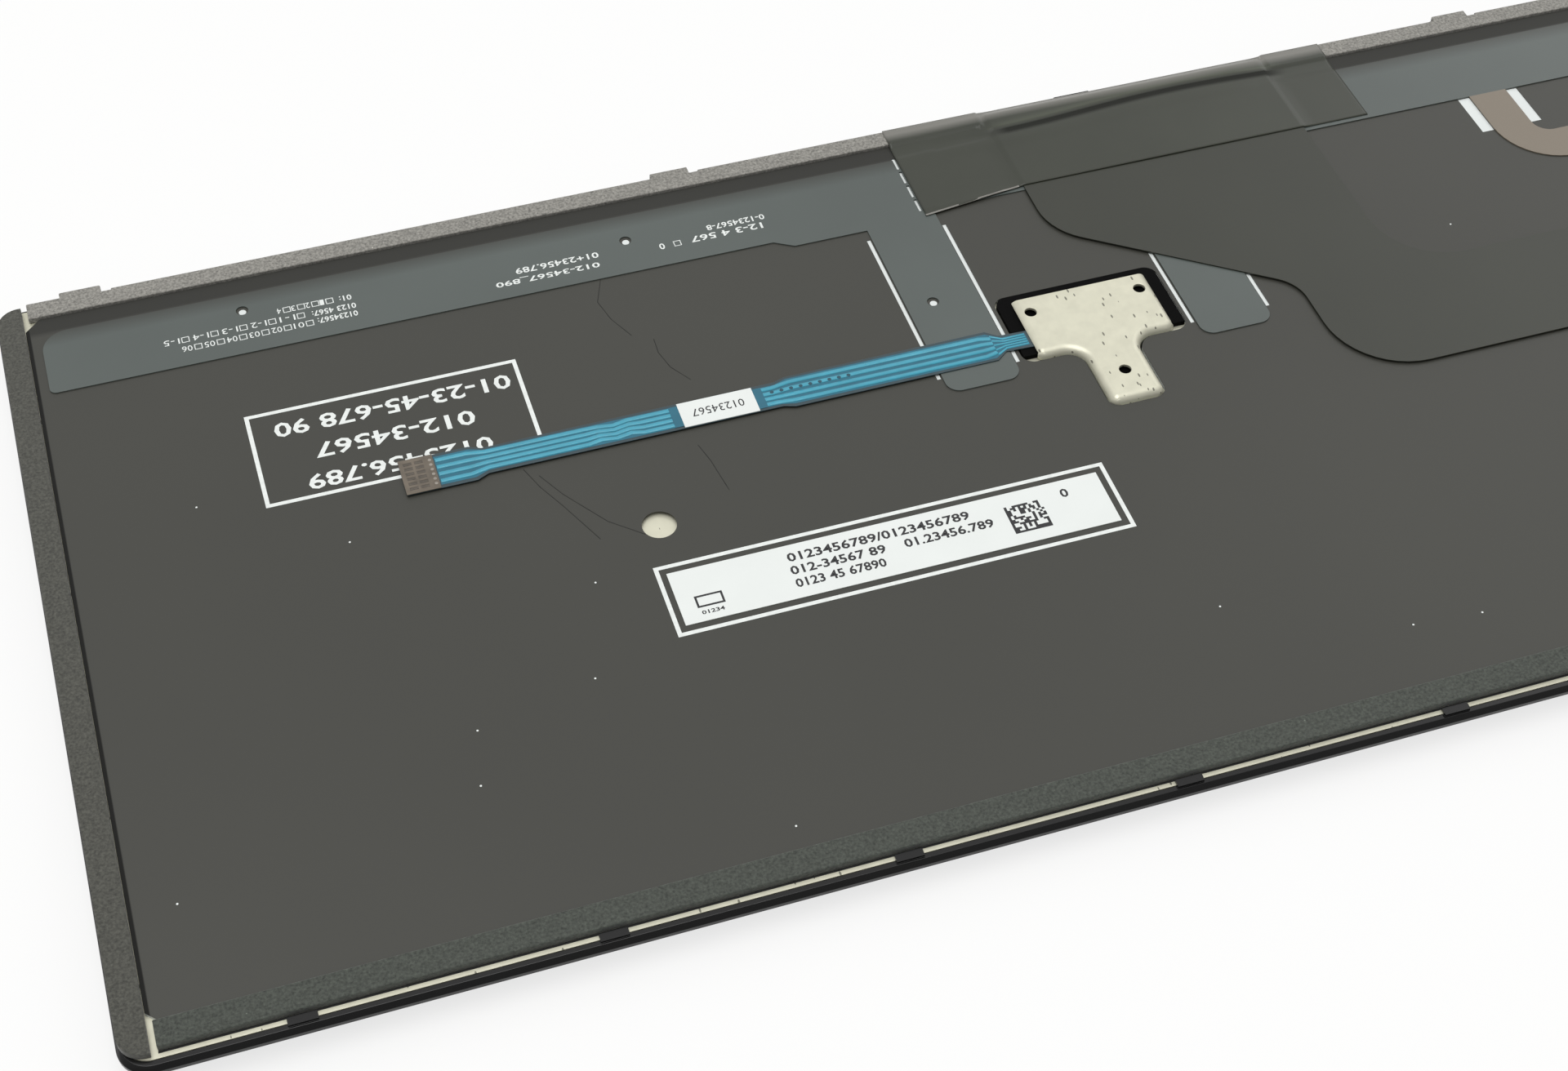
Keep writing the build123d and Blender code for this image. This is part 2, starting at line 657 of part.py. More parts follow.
def make_led_flex():
    """Lamp strip: a band along the front edge, two tongues that straddle the stick, and the tail."""
    strip_left = FILM_LEFT_X + STRIP_END_GAP
    face = rectangle(strip_left, -strip_left, STRIP_REAR_Y, STRIP_FRONT_Y)
    face = fillet(face.vertices().group_by(Axis.Y)[-1], STRIP_FRONT_R)
    face = fillet(face.vertices().group_by(Axis.Y)[0], STRIP_REAR_R)
    half = TONGUE_WIDTH / 2
    left_tongue = tongue_places()[0]
    step_left = left_tongue - half - STRIP_STEP_LENGTH
    step_y = STRIP_REAR_Y - STRIP_STEP_DEPTH
    face += Polygon(
        (step_left - STRIP_STEP_SLOPE, STRIP_REAR_Y),
        (step_left, step_y),
        (left_tongue, step_y),
        (left_tongue, STRIP_REAR_Y),
        align=None,
    )
    for x in tongue_places():
        middle_y = STRIP_FRONT_Y - STRIP_DEPTH / 2
        face += rounded(x - half, x + half, STICK_Y - TONGUE_REACH, middle_y, TONGUE_CORNER_R)
    face += led_tail_outline()
    for x, y in STRIP_HOLES:
        face -= Pos(STICK_X + x, STICK_Y + y) * Circle(STRIP_HOLE_R)
    face -= dashes()
    return sheet(face, LED_FLEX_Z, LED_FLEX_T)


def make_leds():
    """Lamps on the underside of the tongues."""
    lamp = sheet(Rectangle(LED_LENGTH, LED_WIDTH), LED_FLEX_Z - LED_HEIGHT, LED_HEIGHT)
    return [Pos(x, y) * lamp for x, y in led_places()]


def film_outline(corner_r=0):
    """Sheet between the gaskets, with the T-shaped cut-out for the stick's bracket."""
    face = rectangle(FILM_LEFT_X, -FILM_LEFT_X, FILM_REAR_Y, FILM_FRONT_Y)
    face = chamfer(face.vertices().group_by(Axis.Y)[-1], FILM_CORNER_CUT)
    face = chamfer(face.vertices().group_by(Axis.Y)[0], FILM_REAR_CUT)
    gaps = (CUTOUT_END_GAP, CUTOUT_FRONT_GAP, CUTOUT_GAP)
    return face - bracket_outline(*gaps, corner_r, corner_r, BRACKET_NECK_R - CUTOUT_GAP)


def at_peep_hole(shape):
    """Face at the place where the plate shows through the sheets."""
    return Pos(FILM_LEFT_X + PEEP_HOLE_LEFT, FILM_FRONT_Y - PEEP_HOLE_FRONT) * shape


def windowed_outline():
    """Outline of the light guide and the reflector, with openings for the lamps and under the peep hole."""
    side = 2 * (PEEP_HOLE_R + PEEP_WINDOW_GAP)
    return film_outline() - led_windows() - at_peep_hole(Rectangle(side, side))


def film_slits():
    """Slits along both sides of each tongue, and the two slots beside the lamp strip's tail."""
    slits = Sketch()
    front = STRIP_REAR_Y - SLIT_START
    rear = STICK_Y - TONGUE_REACH + SLIT_SHORT
    for x in tongue_places():
        for side in (-1, 1):
            inner = x + side * (TONGUE_WIDTH / 2 + SLIT_GAP)
            outer = inner + side * SLIT_WIDTH
            slits += rectangle(min(inner, outer), max(inner, outer), rear, front)
    tail = STICK_X + LED_TAIL_OFFSET
    for side in (-1, 1):
        inner = tail + side * LED_TAIL_WIDTH / 2
        outer = inner + side * LED_SLOT_WIDTH
        slot_rear = STRIP_REAR_Y - LED_SLOT_LENGTH
        slits += rectangle(min(inner, outer), max(inner, outer), slot_rear, STRIP_REAR_Y)
    return slits


def make_back_film():
    """Dark film with its slits, slots, dashes, peep hole and lamp windows."""
    face = film_outline(CUTOUT_CORNER_R) - led_windows() - film_slits() - dashes()
    return sheet(face - at_peep_hole(Circle(PEEP_HOLE_R)), FILM_Z, FILM_T)


def make_gaskets():
    """Strips on the rim: two at the front, which also cover the hooks, and one along each other edge."""
    height = COVER_Z - GUIDE_Z
    start = FILM_LEFT_X + GASKET_CORNER_GAP
    front_rear = FILM_FRONT_Y + FILM_GAP
    tail_left = STICK_X + TAIL_LEFT - GASKET_CORNER_GAP
    tail_right = STICK_X + TAIL_RIGHT + GASKET_CORNER_GAP
    front_face = rectangle(start, -start, front_rear, GASKET_FRONT_Y)
    front_face += hook_plan(GASKET_TAB_INSET)
    front_face -= hook_reliefs()
    front_face -= rectangle(tail_left, tail_right, front_rear, FRONT_Y + HOOK_REACH)
    fronts = sheet(front_face, GUIDE_Z, height)
    rear_rear = PLATE_REAR_Y + BARE_REAR
    rear = sheet(rectangle(start, -start, rear_rear, rear_rear + GASKET_REAR_W), GUIDE_Z, height)
    side_rear = PLATE_REAR_Y + BARE_CORNER
    side_face = rectangle(GASKET_LEFT_X, GASKET_LEFT_X + GASKET_SIDE_W, side_rear, PLATE_FRONT_Y)
    side_face = fillet(side_face.vertices().group_by(Axis.X)[0], GASKET_CORNER_R)
    side = sheet(side_face, GUIDE_Z, height)
    return fronts, rear, side, mirror(side, Plane.YZ)


def make_cover_tape():
    """Smooth tape over the folded tail. Its left end hangs a little lower."""
    left = STICK_X + TAIL_LEFT - COVER_LEFT_LAP
    right = STICK_X + TAIL_RIGHT + COVER_RIGHT_LAP
    rear = FILM_FRONT_Y - COVER_REAR_LAP
    face = Polygon(
        (left, GASKET_FRONT_Y),
        (left, rear - COVER_FLAP_DROP),
        (STICK_X + TAIL_LEFT, rear),
        (right, rear),
        (right, GASKET_FRONT_Y),
        align=None,
    )
    return sheet(face, COVER_Z, COVER_T)


def make_ribbon():
    """Flat ribbon from the stick's board to its contact end, in four widths with sloping shoulders."""
    front_edge, rear_edge = [], []
    for leg, width in enumerate(RIBBON_WIDTHS):
        (start, start_y), (end, end_y) = RIBBON_ROUTE[leg:leg + 2]
        if leg > 0:
            start -= RIBBON_SHOULDER / 2
        if leg < len(RIBBON_WIDTHS) - 1:
            end += RIBBON_SHOULDER / 2
        for x, y in ((start, start_y), (end, end_y)):
            front_edge.append((STICK_X + x, STICK_Y + y + width / 2))
            rear_edge.append((STICK_X + x, STICK_Y + y - width / 2))
    return sheet(Polygon(*front_edge, *reversed(rear_edge), align=None), RIBBON_Z, STICK_FLEX_T)


def make_ribbon_stiffener():
    """Stiff backing on the contact end of the ribbon."""
    end_x, end_y = RIBBON_ROUTE[-1]
    half = RIBBON_WIDTHS[-1] / 2
    left = STICK_X + end_x
    y = STICK_Y + end_y
    face = rectangle(left, left + RIBBON_STIFFENER_LENGTH, y - half, y + half)
    return sheet(face, RIBBON_Z + STICK_FLEX_T, STICKER_T)


def make_ribbon_label():
    """Blank white label on the ribbon's narrow run."""
    half = RIBBON_WIDTHS[2] / 2 - RIBBON_LABEL_INSET
    y = STICK_Y + (RIBBON_ROUTE[2][1] + RIBBON_ROUTE[3][1]) / 2
    x = STICK_X + RIBBON_LABEL_OFFSET
    face = rectangle(x - RIBBON_LABEL_LENGTH / 2, x + RIBBON_LABEL_LENGTH / 2, y - half, y + half)
    return sheet(face, RIBBON_Z + STICK_FLEX_T, STICKER_T)


def make_id_label():
    """White sticker on the film."""
    left = FILM_LEFT_X + LABEL_LEFT
    front = FILM_FRONT_Y - LABEL_FRONT
    face = rectangle(left, left + LABEL_LENGTH, front - LABEL_WIDTH, front)
    return sheet(face, LED_FLEX_Z, STICKER_T)


def make_tail_stiffeners():
    """Stiff backings on the contact ends of the membrane's tail and the lamp strip's tail."""
    tail_end = STICK_X + TAIL_END
    wide = rectangle(tail_end - STIFFENER_LENGTH, tail_end, STICK_Y + TAIL_REAR, STICK_Y + TAIL_FRONT)
    led_end = STICK_X + LED_TAIL_END
    front = STICK_Y + LED_TAIL_FRONT
    narrow = rectangle(led_end - STIFFENER_LENGTH, led_end, front - LED_TAIL_WIDTH, front)
    membrane_backing = sheet(wide, TAIL_Z + MEMBRANE_T, STIFFENER_T)
    led_backing = sheet(narrow, LED_FLEX_Z + LED_FLEX_T, STIFFENER_T)
    return membrane_backing, led_backing


def save(name, *pieces):
    """Write one node: a single solid, or a group of separate solids."""
    solids = [solid for piece in pieces for solid in piece.solids()]
    shape = solids[0] if len(solids) == 1 else Compound(solids)
    export_step(shape, os.path.join("parts", name + ".step"))


def main():
    os.makedirs("parts", exist_ok=True)
    keys = lay_keys()
    save("bezel", make_bezel(keys))
    for key in keys:
        if key.name in MOVING_KEYS:
            save("key_" + key.name, keycap(key))
    save("other_keycaps", *[keycap(key) for key in keys if key.name not in MOVING_KEYS])

    outers, inners, domes = make_switches(keys)
    save("outer_links", *outers)
    save("inner_links", *inners)
    save("rubber_domes", *domes)
    save("switch_membrane", make_membrane())
    save("base_plate", make_base_plate())

    save("light_guide", sheet(windowed_outline(), GUIDE_Z, GUIDE_T))
    save("reflector_sheet", sheet(windowed_outline(), REFLECTOR_Z, REFLECTOR_T))
    save("back_film", make_back_film())
    save("led_flex", make_led_flex())
    save("leds", *make_leds())
    save("tail_cover_tape", make_cover_tape())

    fronts, rear, left, right = make_gaskets()
    save("front_gaskets", fronts)
    save("rear_gasket", rear)
    save("left_gasket", left)
    save("right_gasket", right)

    save("stick_bracket", make_bracket())
    save("stick_sensor", make_sensor())
    save("stick_cap", make_stick_cap())
    save("stick_ribbon", make_ribbon())
    save("ribbon_stiffener", make_ribbon_stiffener())
    save("ribbon_label", make_ribbon_label())
    save("id_label", make_id_label())
    wide, narrow = make_tail_stiffeners()
    save("membrane_tail_stiffener", wide)
    save("led_tail_stiffener", narrow)


main()
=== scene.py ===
"""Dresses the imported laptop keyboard, which lies keys down, and sets its stage, as a Blender add-on."""

import math

import bmesh
import bpy
import numpy as np
from bpy.props import FloatProperty, FloatVectorProperty, PointerProperty
from mathutils import Matrix, Vector


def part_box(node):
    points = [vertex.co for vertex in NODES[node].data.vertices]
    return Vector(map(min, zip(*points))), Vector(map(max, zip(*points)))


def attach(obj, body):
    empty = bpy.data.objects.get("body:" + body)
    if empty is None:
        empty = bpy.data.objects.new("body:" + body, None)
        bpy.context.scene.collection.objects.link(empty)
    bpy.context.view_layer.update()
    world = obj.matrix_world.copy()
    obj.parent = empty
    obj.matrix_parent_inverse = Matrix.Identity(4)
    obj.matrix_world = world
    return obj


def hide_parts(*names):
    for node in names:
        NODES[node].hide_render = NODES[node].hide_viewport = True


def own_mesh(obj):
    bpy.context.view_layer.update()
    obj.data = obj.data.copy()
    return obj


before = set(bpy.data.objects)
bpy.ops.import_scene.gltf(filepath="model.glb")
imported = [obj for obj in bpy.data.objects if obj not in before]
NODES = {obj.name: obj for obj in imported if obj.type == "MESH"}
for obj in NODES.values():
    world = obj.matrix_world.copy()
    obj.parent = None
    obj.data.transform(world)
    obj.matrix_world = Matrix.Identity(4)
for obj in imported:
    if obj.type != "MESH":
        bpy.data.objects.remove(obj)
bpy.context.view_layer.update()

bl_info = {
    "name": "Framed laptop keyboard",
    "version": (1, 0, 0),
    "blender": (4, 5, 0),
    "location": "View3D > Sidebar > Keyboard",
    "description": "Dresses the underside of a framed laptop keyboard and sets its stage",
    "category": "Add Mesh",
}

ROOT = "frame"
MM = 0.001

# Points of a CAD mesh within this distance, in metres, are one point
MERGE = 1e-6

# Angles between faces: a flat seam, an edge that is rounded, the steepest bend, an edge that is shaded sharp
FLAT_ANGLE = math.radians(1)
ROUNDED_ANGLE = math.radians(30)
BEND_LIMIT = math.radians(60)
SHARP_ANGLE = math.radians(40)

# Colour sockets of a Mix node
MIX_A, MIX_B, MIX_OUT = 6, 7, 2

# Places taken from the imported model, in metres
FILM_LOW, FILM_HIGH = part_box("back_film")
TAPE_LOW, TAPE_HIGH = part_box("tail_cover_tape")
RIBBON_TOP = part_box("stick_ribbon")[1].z
STICKER_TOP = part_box("id_label")[1].z
TAG_LOW, TAG_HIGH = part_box("ribbon_label")
CAP_LOW, CAP_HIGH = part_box("stick_cap")
STICK = (CAP_LOW + CAP_HIGH) / 2

# Places in plan that repeat the part's own, in millimetres
STRIP_REAR = FILM_HIGH.y / MM - 13.2
STRIP_FRONT = FILM_HIGH.y / MM - 2.8
GASKET_REAR = FILM_HIGH.y / MM + 0.1
TAIL_LEFT = STICK.x / MM + 0.8
TAIL_RIGHT = STICK.x / MM + 40.5
LAMP_TAIL_LEFT = STICK.x / MM + 59.0

# Levels of the sheets under the cover tape, in millimetres
FILM_TOP = 4.7
STRIP_TOP = 4.85
TAIL_TOP = 5.05

# Fold of the membrane's tail, in millimetres: where it starts, level of its middle, and radius
FOLD_START = 52.3
FOLD_MIDDLE = 4.32
FOLD_RADIUS = 1.4

# Cover tape, in millimetres: slant of its rear edge, how far past a sheet's edge it is held up, how far from
# the tail the gaskets hold it up, the least gap under it, and where the painted highlight along its left
# flap's edge ends beside the tail
TAPE_SLANT = 1.7
SHEET_REACH = 0.2
TAIL_GAP = 0.8
TAPE_GAP = 0.01
RIM_GAP = 0.5

# Wavy ridge of the cover tape, in millimetres: its line, how it leans and waves, and the painted shadow and
# highlight across it
CREST = 50.1
CREST_SLOPE = 0.02
CREST_WAVE = 0.45
CREST_LENGTH = 7.0
CREASE = ((-1.6, 0.5), (-0.9, 0.15), (-0.3, 0.15), (0.0, 0.5), (0.35, 0.95), (1.1, 0.6), (2.4, 0.5))

# Ridge's rise, and how far past the tail's left, right and fold it reaches and over what length it fades
RIDGE_RISE = 0.12
RIDGE_LEFT = (9.0, 12.0)
RIDGE_RIGHT = (4.0, 8.0)
RIDGE_FRONT = (1.0, 0.9)

# Swell behind the ridge: share of the ridge's height, distance from the crest, and width
SWELL_SHARE, SWELL_BACK, SWELL_WIDTH = 0.4, 2.4, 1.1

# Slack of the tape: height, lengths of its waves along and across, their shift, and fade at the tail's sides
SLACK_HEIGHT, SLACK_ALONG, SLACK_ACROSS, SLACK_SHIFT, SLACK_FADE = 0.025, 6.1, 2.9, 0.6, 6.0

# Loose left flap of the tape: fade beside the tail, and how quickly it curls down
FLAP_FADE, FLAP_CURL = 3.0, 14.0

# Thickness of the black strip beside the rear gasket that paints its shadow, in thicknesses of ink
ADHESIVE_COATS = 4

# Blue part of the ribbon, in millimetres from the stick: start, end, middle and half width of each leg. The
# label lies on one leg, between two plain bands
RIBBON_LEGS = (
    (-9.1, -12.2, 0.4, 1.05),
    (-13.8, -39.2, 0.45, 2.1),
    (-40.8, -76.2, 0.35, 1.65),
    (-77.8, -81.9, 0.3, 2.25),
)
LABELLED_LEG = 2
LABEL_BAND = 1.1

# Routes of the ribbon's traces, in millimetres from the stick: place along it, middle, and pitch of the lanes
BROAD_ROUTE = (
    (-13.4, 0.45, 0.8), (-14.8, 0.45, 1.02), (-39.0, 0.45, 1.02), (-41.2, 0.35, 0.82), (-57.5, 0.35, 0.82),
    (-59.0, 0.55, 0.7), (-60.8, 0.2, 0.7), (-62.6, 0.5, 0.7), (-64.2, 0.35, 0.82), (-76.0, 0.35, 0.82),
    (-78.2, 0.3, 1.1), (-81.8, 0.3, 1.1),
)
BROAD_LANES = (-1.5, -0.5, 0.5, 1.5)
FINE_ROUTE = ((-9.2, 0.4, 0.4), (-12.0, 0.4, 0.4), (-13.4, 0.45, 0.8))
FINE_LANES = (-2, -1, 0, 1, 2)

# Dots on the ribbon, in millimetres: the first one's place from the stick, pitch, number and radius
VIA_START, VIA_PITCH, VIA_COUNT, VIA_RADIUS = (-41.4, 0.9), 1.2, 9, 0.24
SOLDER_START, SOLDER_PITCH, SOLDER_COUNT, SOLDER_RADIUS = (-82.4, -1.575), 0.75, 6, 0.2
SOLDER_LIFT, SOLDER_HEIGHT = 0.08, 0.03

# Height of a via, in heights of a trace
VIA_RELIEF = 1.6

# Shade of the ribbon round a via, of the film along a scuff, and of a stiffener over its contacts
VIA_SHADE, SCUFF_SHADE, CONTACT_SHADE = 0.5, 0.45, 0.62

# Holes in the lamp strip, in millimetres from the stick, and the pale floors in them
STRIP_HOLES = ((-98.7, 33.4), (-50.8, 31.8), (-17.7, 10.0))
FLOOR_RADIUS, FLOOR_SHIFT = 0.45, -0.2

# Holes in the stick's bracket, in millimetres from the stick, and the black discs set behind them
BRACKET_HOLES = ((0.0, -8.3), (-7.19, 4.15), (7.19, 4.15))
PAD_RADIUS, PAD_HEIGHT = 0.9, 0.3

# Bevel steps of the bracket's bends and cut edges. A face of it whose normal is this upright is shaded flat
BEND_STEPS, EDGE_STEPS = 6, 2
UPRIGHT = 0.999

# Contacts behind each stiffener, where their two rows start and end as shares of its length, and the share of
# the pitch that a contact fills
STIFFENER_CONTACTS = {"ribbon_stiffener": 6, "membrane_tail_stiffener": 30, "led_tail_stiffener": 8}
CONTACT_ROWS = ((0.125, 0.375), (0.45, 0.7))
CONTACT_FILL = 0.55

# Rubber dome: shares of its radius and of its height below the key, and steps round it
DOME_PROFILE = ((1.0, 1.0), (1.0, 0.92), (0.86, 0.86), (0.52, 0.3), (0.45, 0.22), (0.45, 0.0))
DOME_STEPS = 20

# Print, in millimetres from the film's front left corner. Frames: left, front, right and rear edge. Lines:
# numerals, their height and width, and their middle
FILM_FRAMES = ((62.4, 60.6, 115.4, 69.9), (23.1, 24.1, 54.7, 38.0))
FILM_LINES = (
    ("01-23-45-678 90", 2.4, 28.2, 39.7, 26.9),
    ("012-34567", 2.4, 18.9, 39.0, 31.4),
    ("0123456.789", 2.4, 21.6, 38.7, 36.1),
)
STRIP_LINES = (
    ("01234567:", 0.95, 4.9, 36.4, 10.3),
    ("0123 4567:", 0.95, 5.4, 36.2, 8.9),
    ("01:", 0.95, 1.5, 37.9, 7.3),
    ("012-34567_890", 1.05, 13.2, 62.6, 10.6),
    ("01+23456.789", 1.05, 10.6, 64.2, 8.9),
    ("0", 1.1, 0.7, 77.5, 9.8),
    ("12-3 4 567", 1.1, 9.4, 86.0, 9.7),
    ("0-1234567-8", 1.0, 7.6, 87.6, 8.2),
)
STICKER_LINES = (
    ("0123456789/0123456789", 1.3, 21.7, 87.45, 63.2),
    ("012-34567 89", 1.3, 11.2, 82.0, 65.1),
    ("01.23456.789", 1.3, 10.7, 95.2, 65.1),
    ("0123 45 67890", 1.3, 10.6, 81.7, 67.0),
    ("0", 1.3, 0.95, 109.9, 63.3),
    ("01234", 0.55, 2.6, 66.6, 67.9),
)
STICKER_BOX, STICKER_BOX_LINE = (65.3, 65.7, 68.0, 66.9), 0.25
TAG_TEXT, TAG_TEXT_HEIGHT, TAG_TEXT_WIDTH = "01234567", 1.2, 6.4

# How much bolder the numerals on the film, the strip and the sticker are, as shares of their size
FILM_BOLD, STRIP_BOLD, STICKER_BOLD = 0.018, 0.015, 0.022

# Rows of tick boxes on the lamp strip: numerals, right end, pitch, width of the numerals, and place from the
# front. Each box and its numerals are shifted to the left of their place. One more box stands by itself
BOX_ROWS = (
    ("01 02 03 04 05 06", 33.4, 2.7, 1.25, 10.4),
    ("1-1 1-2 1-3 1-4 1-5", 32.6, 3.5, 1.9, 8.8),
    ("1 2 3 4", 36.4, 1.75, 0.5, 7.25),
)
BOX_SHIFT, BOX_TEXT_SHIFT, BOX_TEXT_HEIGHT = 0.45, 1.15, 0.95
BOX_SIDE, BOX_LINE = 0.85, 0.16
LONE_BOX = (79.5, 9.8)

# Check pattern on the sticker: cells on a side, size, left front corner, seed and share of filled cells
CHECK_CELLS = 14
CHECK_SIZE = (4.5, 4.1)
CHECK_CORNER = (102.4, 63.4)
CHECK_SEED = 5
CHECK_SHARE = 0.5

# Hairline scuffs and dust, in millimetres from the film's front left corner
SCUFFS = (
    ((51.8, 41.3), (53.0, 44.6), (54.8, 48.2), (57.5, 54.2)),
    ((53.3, 42.8), (55.2, 46.4), (59.0, 51.9), (62.5, 55.0)),
    ((72.0, 25.2), (71.9, 27.6), (72.6, 30.4), (74.3, 33.1)),
    ((72.1, 43.6), (72.8, 46.4), (73.1, 48.6), (73.5, 51.4)),
    ((68.6, 13.2), (67.2, 17.0), (68.0, 20.4), (69.6, 23.8)),
)
DUST = (
    (4.9, 88.0), (15.1, 36.0), (30.6, 46.3), (51.8, 73.1), (36.9, 83.1), (66.4, 97.6), (38.2, 76.1),
    (55.3, 60.2), (174.4, 35.2), (147.3, 93.4), (139.2, 92.7), (210.0, 77.0), (232.5, 41.0), (120.0, 84.0),
    (251.0, 88.5),
)
DUST_RADIUS = 0.12

# Floor: half its width in metres, and the share of its own glow that the camera and reflections see
FLOOR_HALF = 6.0
FLOOR_GLOW = 0.75

# Sky: its brightest direction, the range of turns away from it, and the strengths at both ends
SKY_TOWARDS = (0.1, 0.6, 0.79)
SKY_RANGE = (-0.3, 1.0)
SKY_STRENGTH = (0.2, 0.85)

# Softboxes: place and size in metres, and power in watts
SOFTBOXES = {
    "right softbox": ((1.05, 0.75, 0.85), 1.0, 2.0),
    "overhead softbox": ((-0.25, -0.1, 1.3), 1.2, 9.0),
}

# Camera: lens and sensor in millimetres, nearest depth and place in metres, and its right and up directions
CAMERA_LENS, CAMERA_SENSOR, CAMERA_NEAR = 56.46, 36.0, 0.01
CAMERA_PLACE = (-0.11942, -0.18086, 0.21374)
CAMERA_RIGHT = (0.95124, -0.30818, 0.01250)
CAMERA_UP = (0.22493, 0.72086, 0.65556)


def linear(code):
    """Linear colour of an sRGB hex code."""
    channels = [int(code[place:place + 2], 16) / 255 for place in (1, 3, 5)]
    return [c / 12.92 if c <= 0.04045 else ((c + 0.055) / 1.055) ** 2.4 for c in channels]


def length(label, millimetres, description):
    """Property that holds a length, given in millimetres."""
    return FloatProperty(
        name=label, description=description, default=millimetres * MM, unit="LENGTH", precision=5
    )


def colour(label, code, description):
    """Property that holds a colour, given as an sRGB hex code."""
    return FloatVectorProperty(
        name=label, description=description, default=linear(code), subtype="COLOR", min=0, max=1
    )


class KeyboardSizes(bpy.types.PropertyGroup):
    """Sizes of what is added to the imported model."""

    moulding_round: length("Moulding edge", 0.16, "Rounding of the frame's edges")
    cap_round: length("Keycap edge", 0.3, "Rounding of the keycaps' edges")
    sheet_round: length("Sheet edge", 0.04, "Rounding of cut strips and tails")
    gasket_round: length("Gasket edge", 0.12, "Rounding of the gaskets' edges")
    bracket_bend: length("Bracket bend", 0.4, "Rounding at both ends of the pressed bracket's bends")
    bracket_edge: length("Bracket edge", 0.05, "Rounding of the bracket's cut edges")
    # The black strip beside the rear gasket is a painted shadow of its side
    adhesive_edge: length("Adhesive edge", 0.24, "How far the adhesive shows beside the rear gasket")
    ink: length("Ink", 0.012, "Thickness of the printed marks")
    frame_line: length("Frame line", 0.5, "Width of the printed frames' lines")
    tape_grid: length("Tape grid", 0.35, "Spacing of the draped tape's points")
    tape_drape: length("Tape drape", 0.9, "How far the tape bridges a step beneath it")
    tape_ridge: length("Tape ridge", 0.22, "Height of the slack ridge along the fold")
    tape_lift: length("Tape lift", 0.12, "Lift of the tape's loose left flap")
    # The tape's edge band is a painted highlight along the lifted edge of its left flap
    tape_rim: length("Tape rim", 0.28, "Width of the stretched rim of the tape's left flap")
    trace_width: length("Trace", 0.6, "Width of a ribbon trace")
    fine_trace_width: length("Fine trace", 0.26, "Width of a trace at the ribbon's narrow end")
    trace_height: length("Trace height", 0.03, "Relief of a ribbon trace")
    scuff_width: length("Scuff", 0.11, "Width of a hairline scuff")


class KeyboardColours(bpy.types.PropertyGroup):
    """Colours of the finishes."""

    bezel: colour("Frame", "#070707", "Moulded frame")
    keycap: colour("Keycaps", "#1a1a1b", "Keycaps")
    link: colour("Links", "#e4e4df", "Scissor links")
    rubber: colour("Domes", "#cfcfca", "Rubber domes")
    membrane: colour("Membrane", "#2e3027", "Key membrane and its tail")
    plate: colour("Plate", "#d8d6c2", "Bare metal of the plate and the bracket")
    white_film: colour("White film", "#dfe4e2", "Reflector sheet")
    dark_film: colour("Dark film", "#383832", "Back film")
    strip: colour("Lamp strip", "#535a57", "Lamp strip")
    strip_tail: colour("Lamp strip tail", "#7c7264", "Tail of the lamp strip")
    tape: colour("Cover tape", "#32352b", "Cover tape")
    # Black of the strip beside the rear gasket: painted shadow
    adhesive: colour("Adhesive", "#0b0b0a", "Adhesive under the rear gasket")
    gasket: colour("Side gasket", "#484842", "Side gaskets")
    # The front gaskets' cloth is paler than the side gaskets': painted sheen where light grazes it
    front_gasket: colour("Front gasket", "#85837d", "Front gaskets")
    rear_gasket: colour("Rear gasket", "#424640", "Rear gasket")
    board: colour("Board", "#020202", "Stick board")
    stick: colour("Stick cap", "#202022", "Rubber cap of the stick")
    ribbon_edge: colour("Ribbon edge", "#2b4047", "Clear edge of the ribbon")
    ribbon: colour("Ribbon", "#17657b", "Blue ribbon between its traces")
    trace: colour("Trace", "#389eb6", "Blue ribbon over its traces")
    stiffener: colour("Stiffener", "#675e52", "Stiffeners of the contact ends")
    tin: colour("Contacts", "#a8a198", "Tinned contacts")
    paper: colour("Labels", "#e6eae7", "White labels")
    ink_white: colour("White ink", "#e6eae7", "White print")
    ink_dark: colour("Dark ink", "#2b2b2d", "Dark print on labels")
    lamp: colour("Lamps", "#e8dc9a", "Lamp packages")
    guide: colour("Light guide", "#dfe6e8", "Clear light guide")
    floor: colour("Floor", "#f2f2f0", "Floor")


def sizes():
    """Sizes of what is added, as the user has set them."""
    return bpy.context.scene.keyboard_sizes


def colours():
    """Colours of the finishes, as the user has set them."""
    return bpy.context.scene.keyboard_colours


# Materials

def add(tree, kind, inputs=None, **settings):
    """Add a node with its settings, and link or set its inputs."""
    made = tree.nodes.new(kind)
    for name, value in settings.items():
        setattr(made, name, value)
    for socket, value in (inputs or {}).items():
        if isinstance(value, bpy.types.NodeSocket):
            tree.links.new(value, made.inputs[socket])
        else:
            made.inputs[socket].default_value = value
    return made


def shaded(base, factor):
    """Colour made lighter or darker by a factor."""
    return [min(1.0, channel * factor) for channel in base]


def rgba(base, factor=1.0):
    """Colour for a socket, made lighter or darker by a factor."""
    return (*shaded(base, factor), 1.0)


def scale_of(millimetres):
    """Texture scale at which a pattern's features are about that large."""
    return 1 / (millimetres * MM)


def start_material(name, base, roughness, **sockets):
    """New material with one shader, and the Object coordinates that its patterns read."""
    material = bpy.data.materials.new(name)
    material.use_nodes = True
    tree = material.node_tree
    tree.nodes.clear()
    inputs = {"Base Color": rgba(base), "Roughness": roughness}
    inputs.update({socket.replace("_", " "): value for socket, value in sockets.items()})
    shader = add(tree, "ShaderNodeBsdfPrincipled", inputs)
    add(tree, "ShaderNodeOutputMaterial", {"Surface": shader.outputs["BSDF"]})
    coords = add(tree, "ShaderNodeTexCoord").outputs["Object"]
    return material, tree, shader, coords


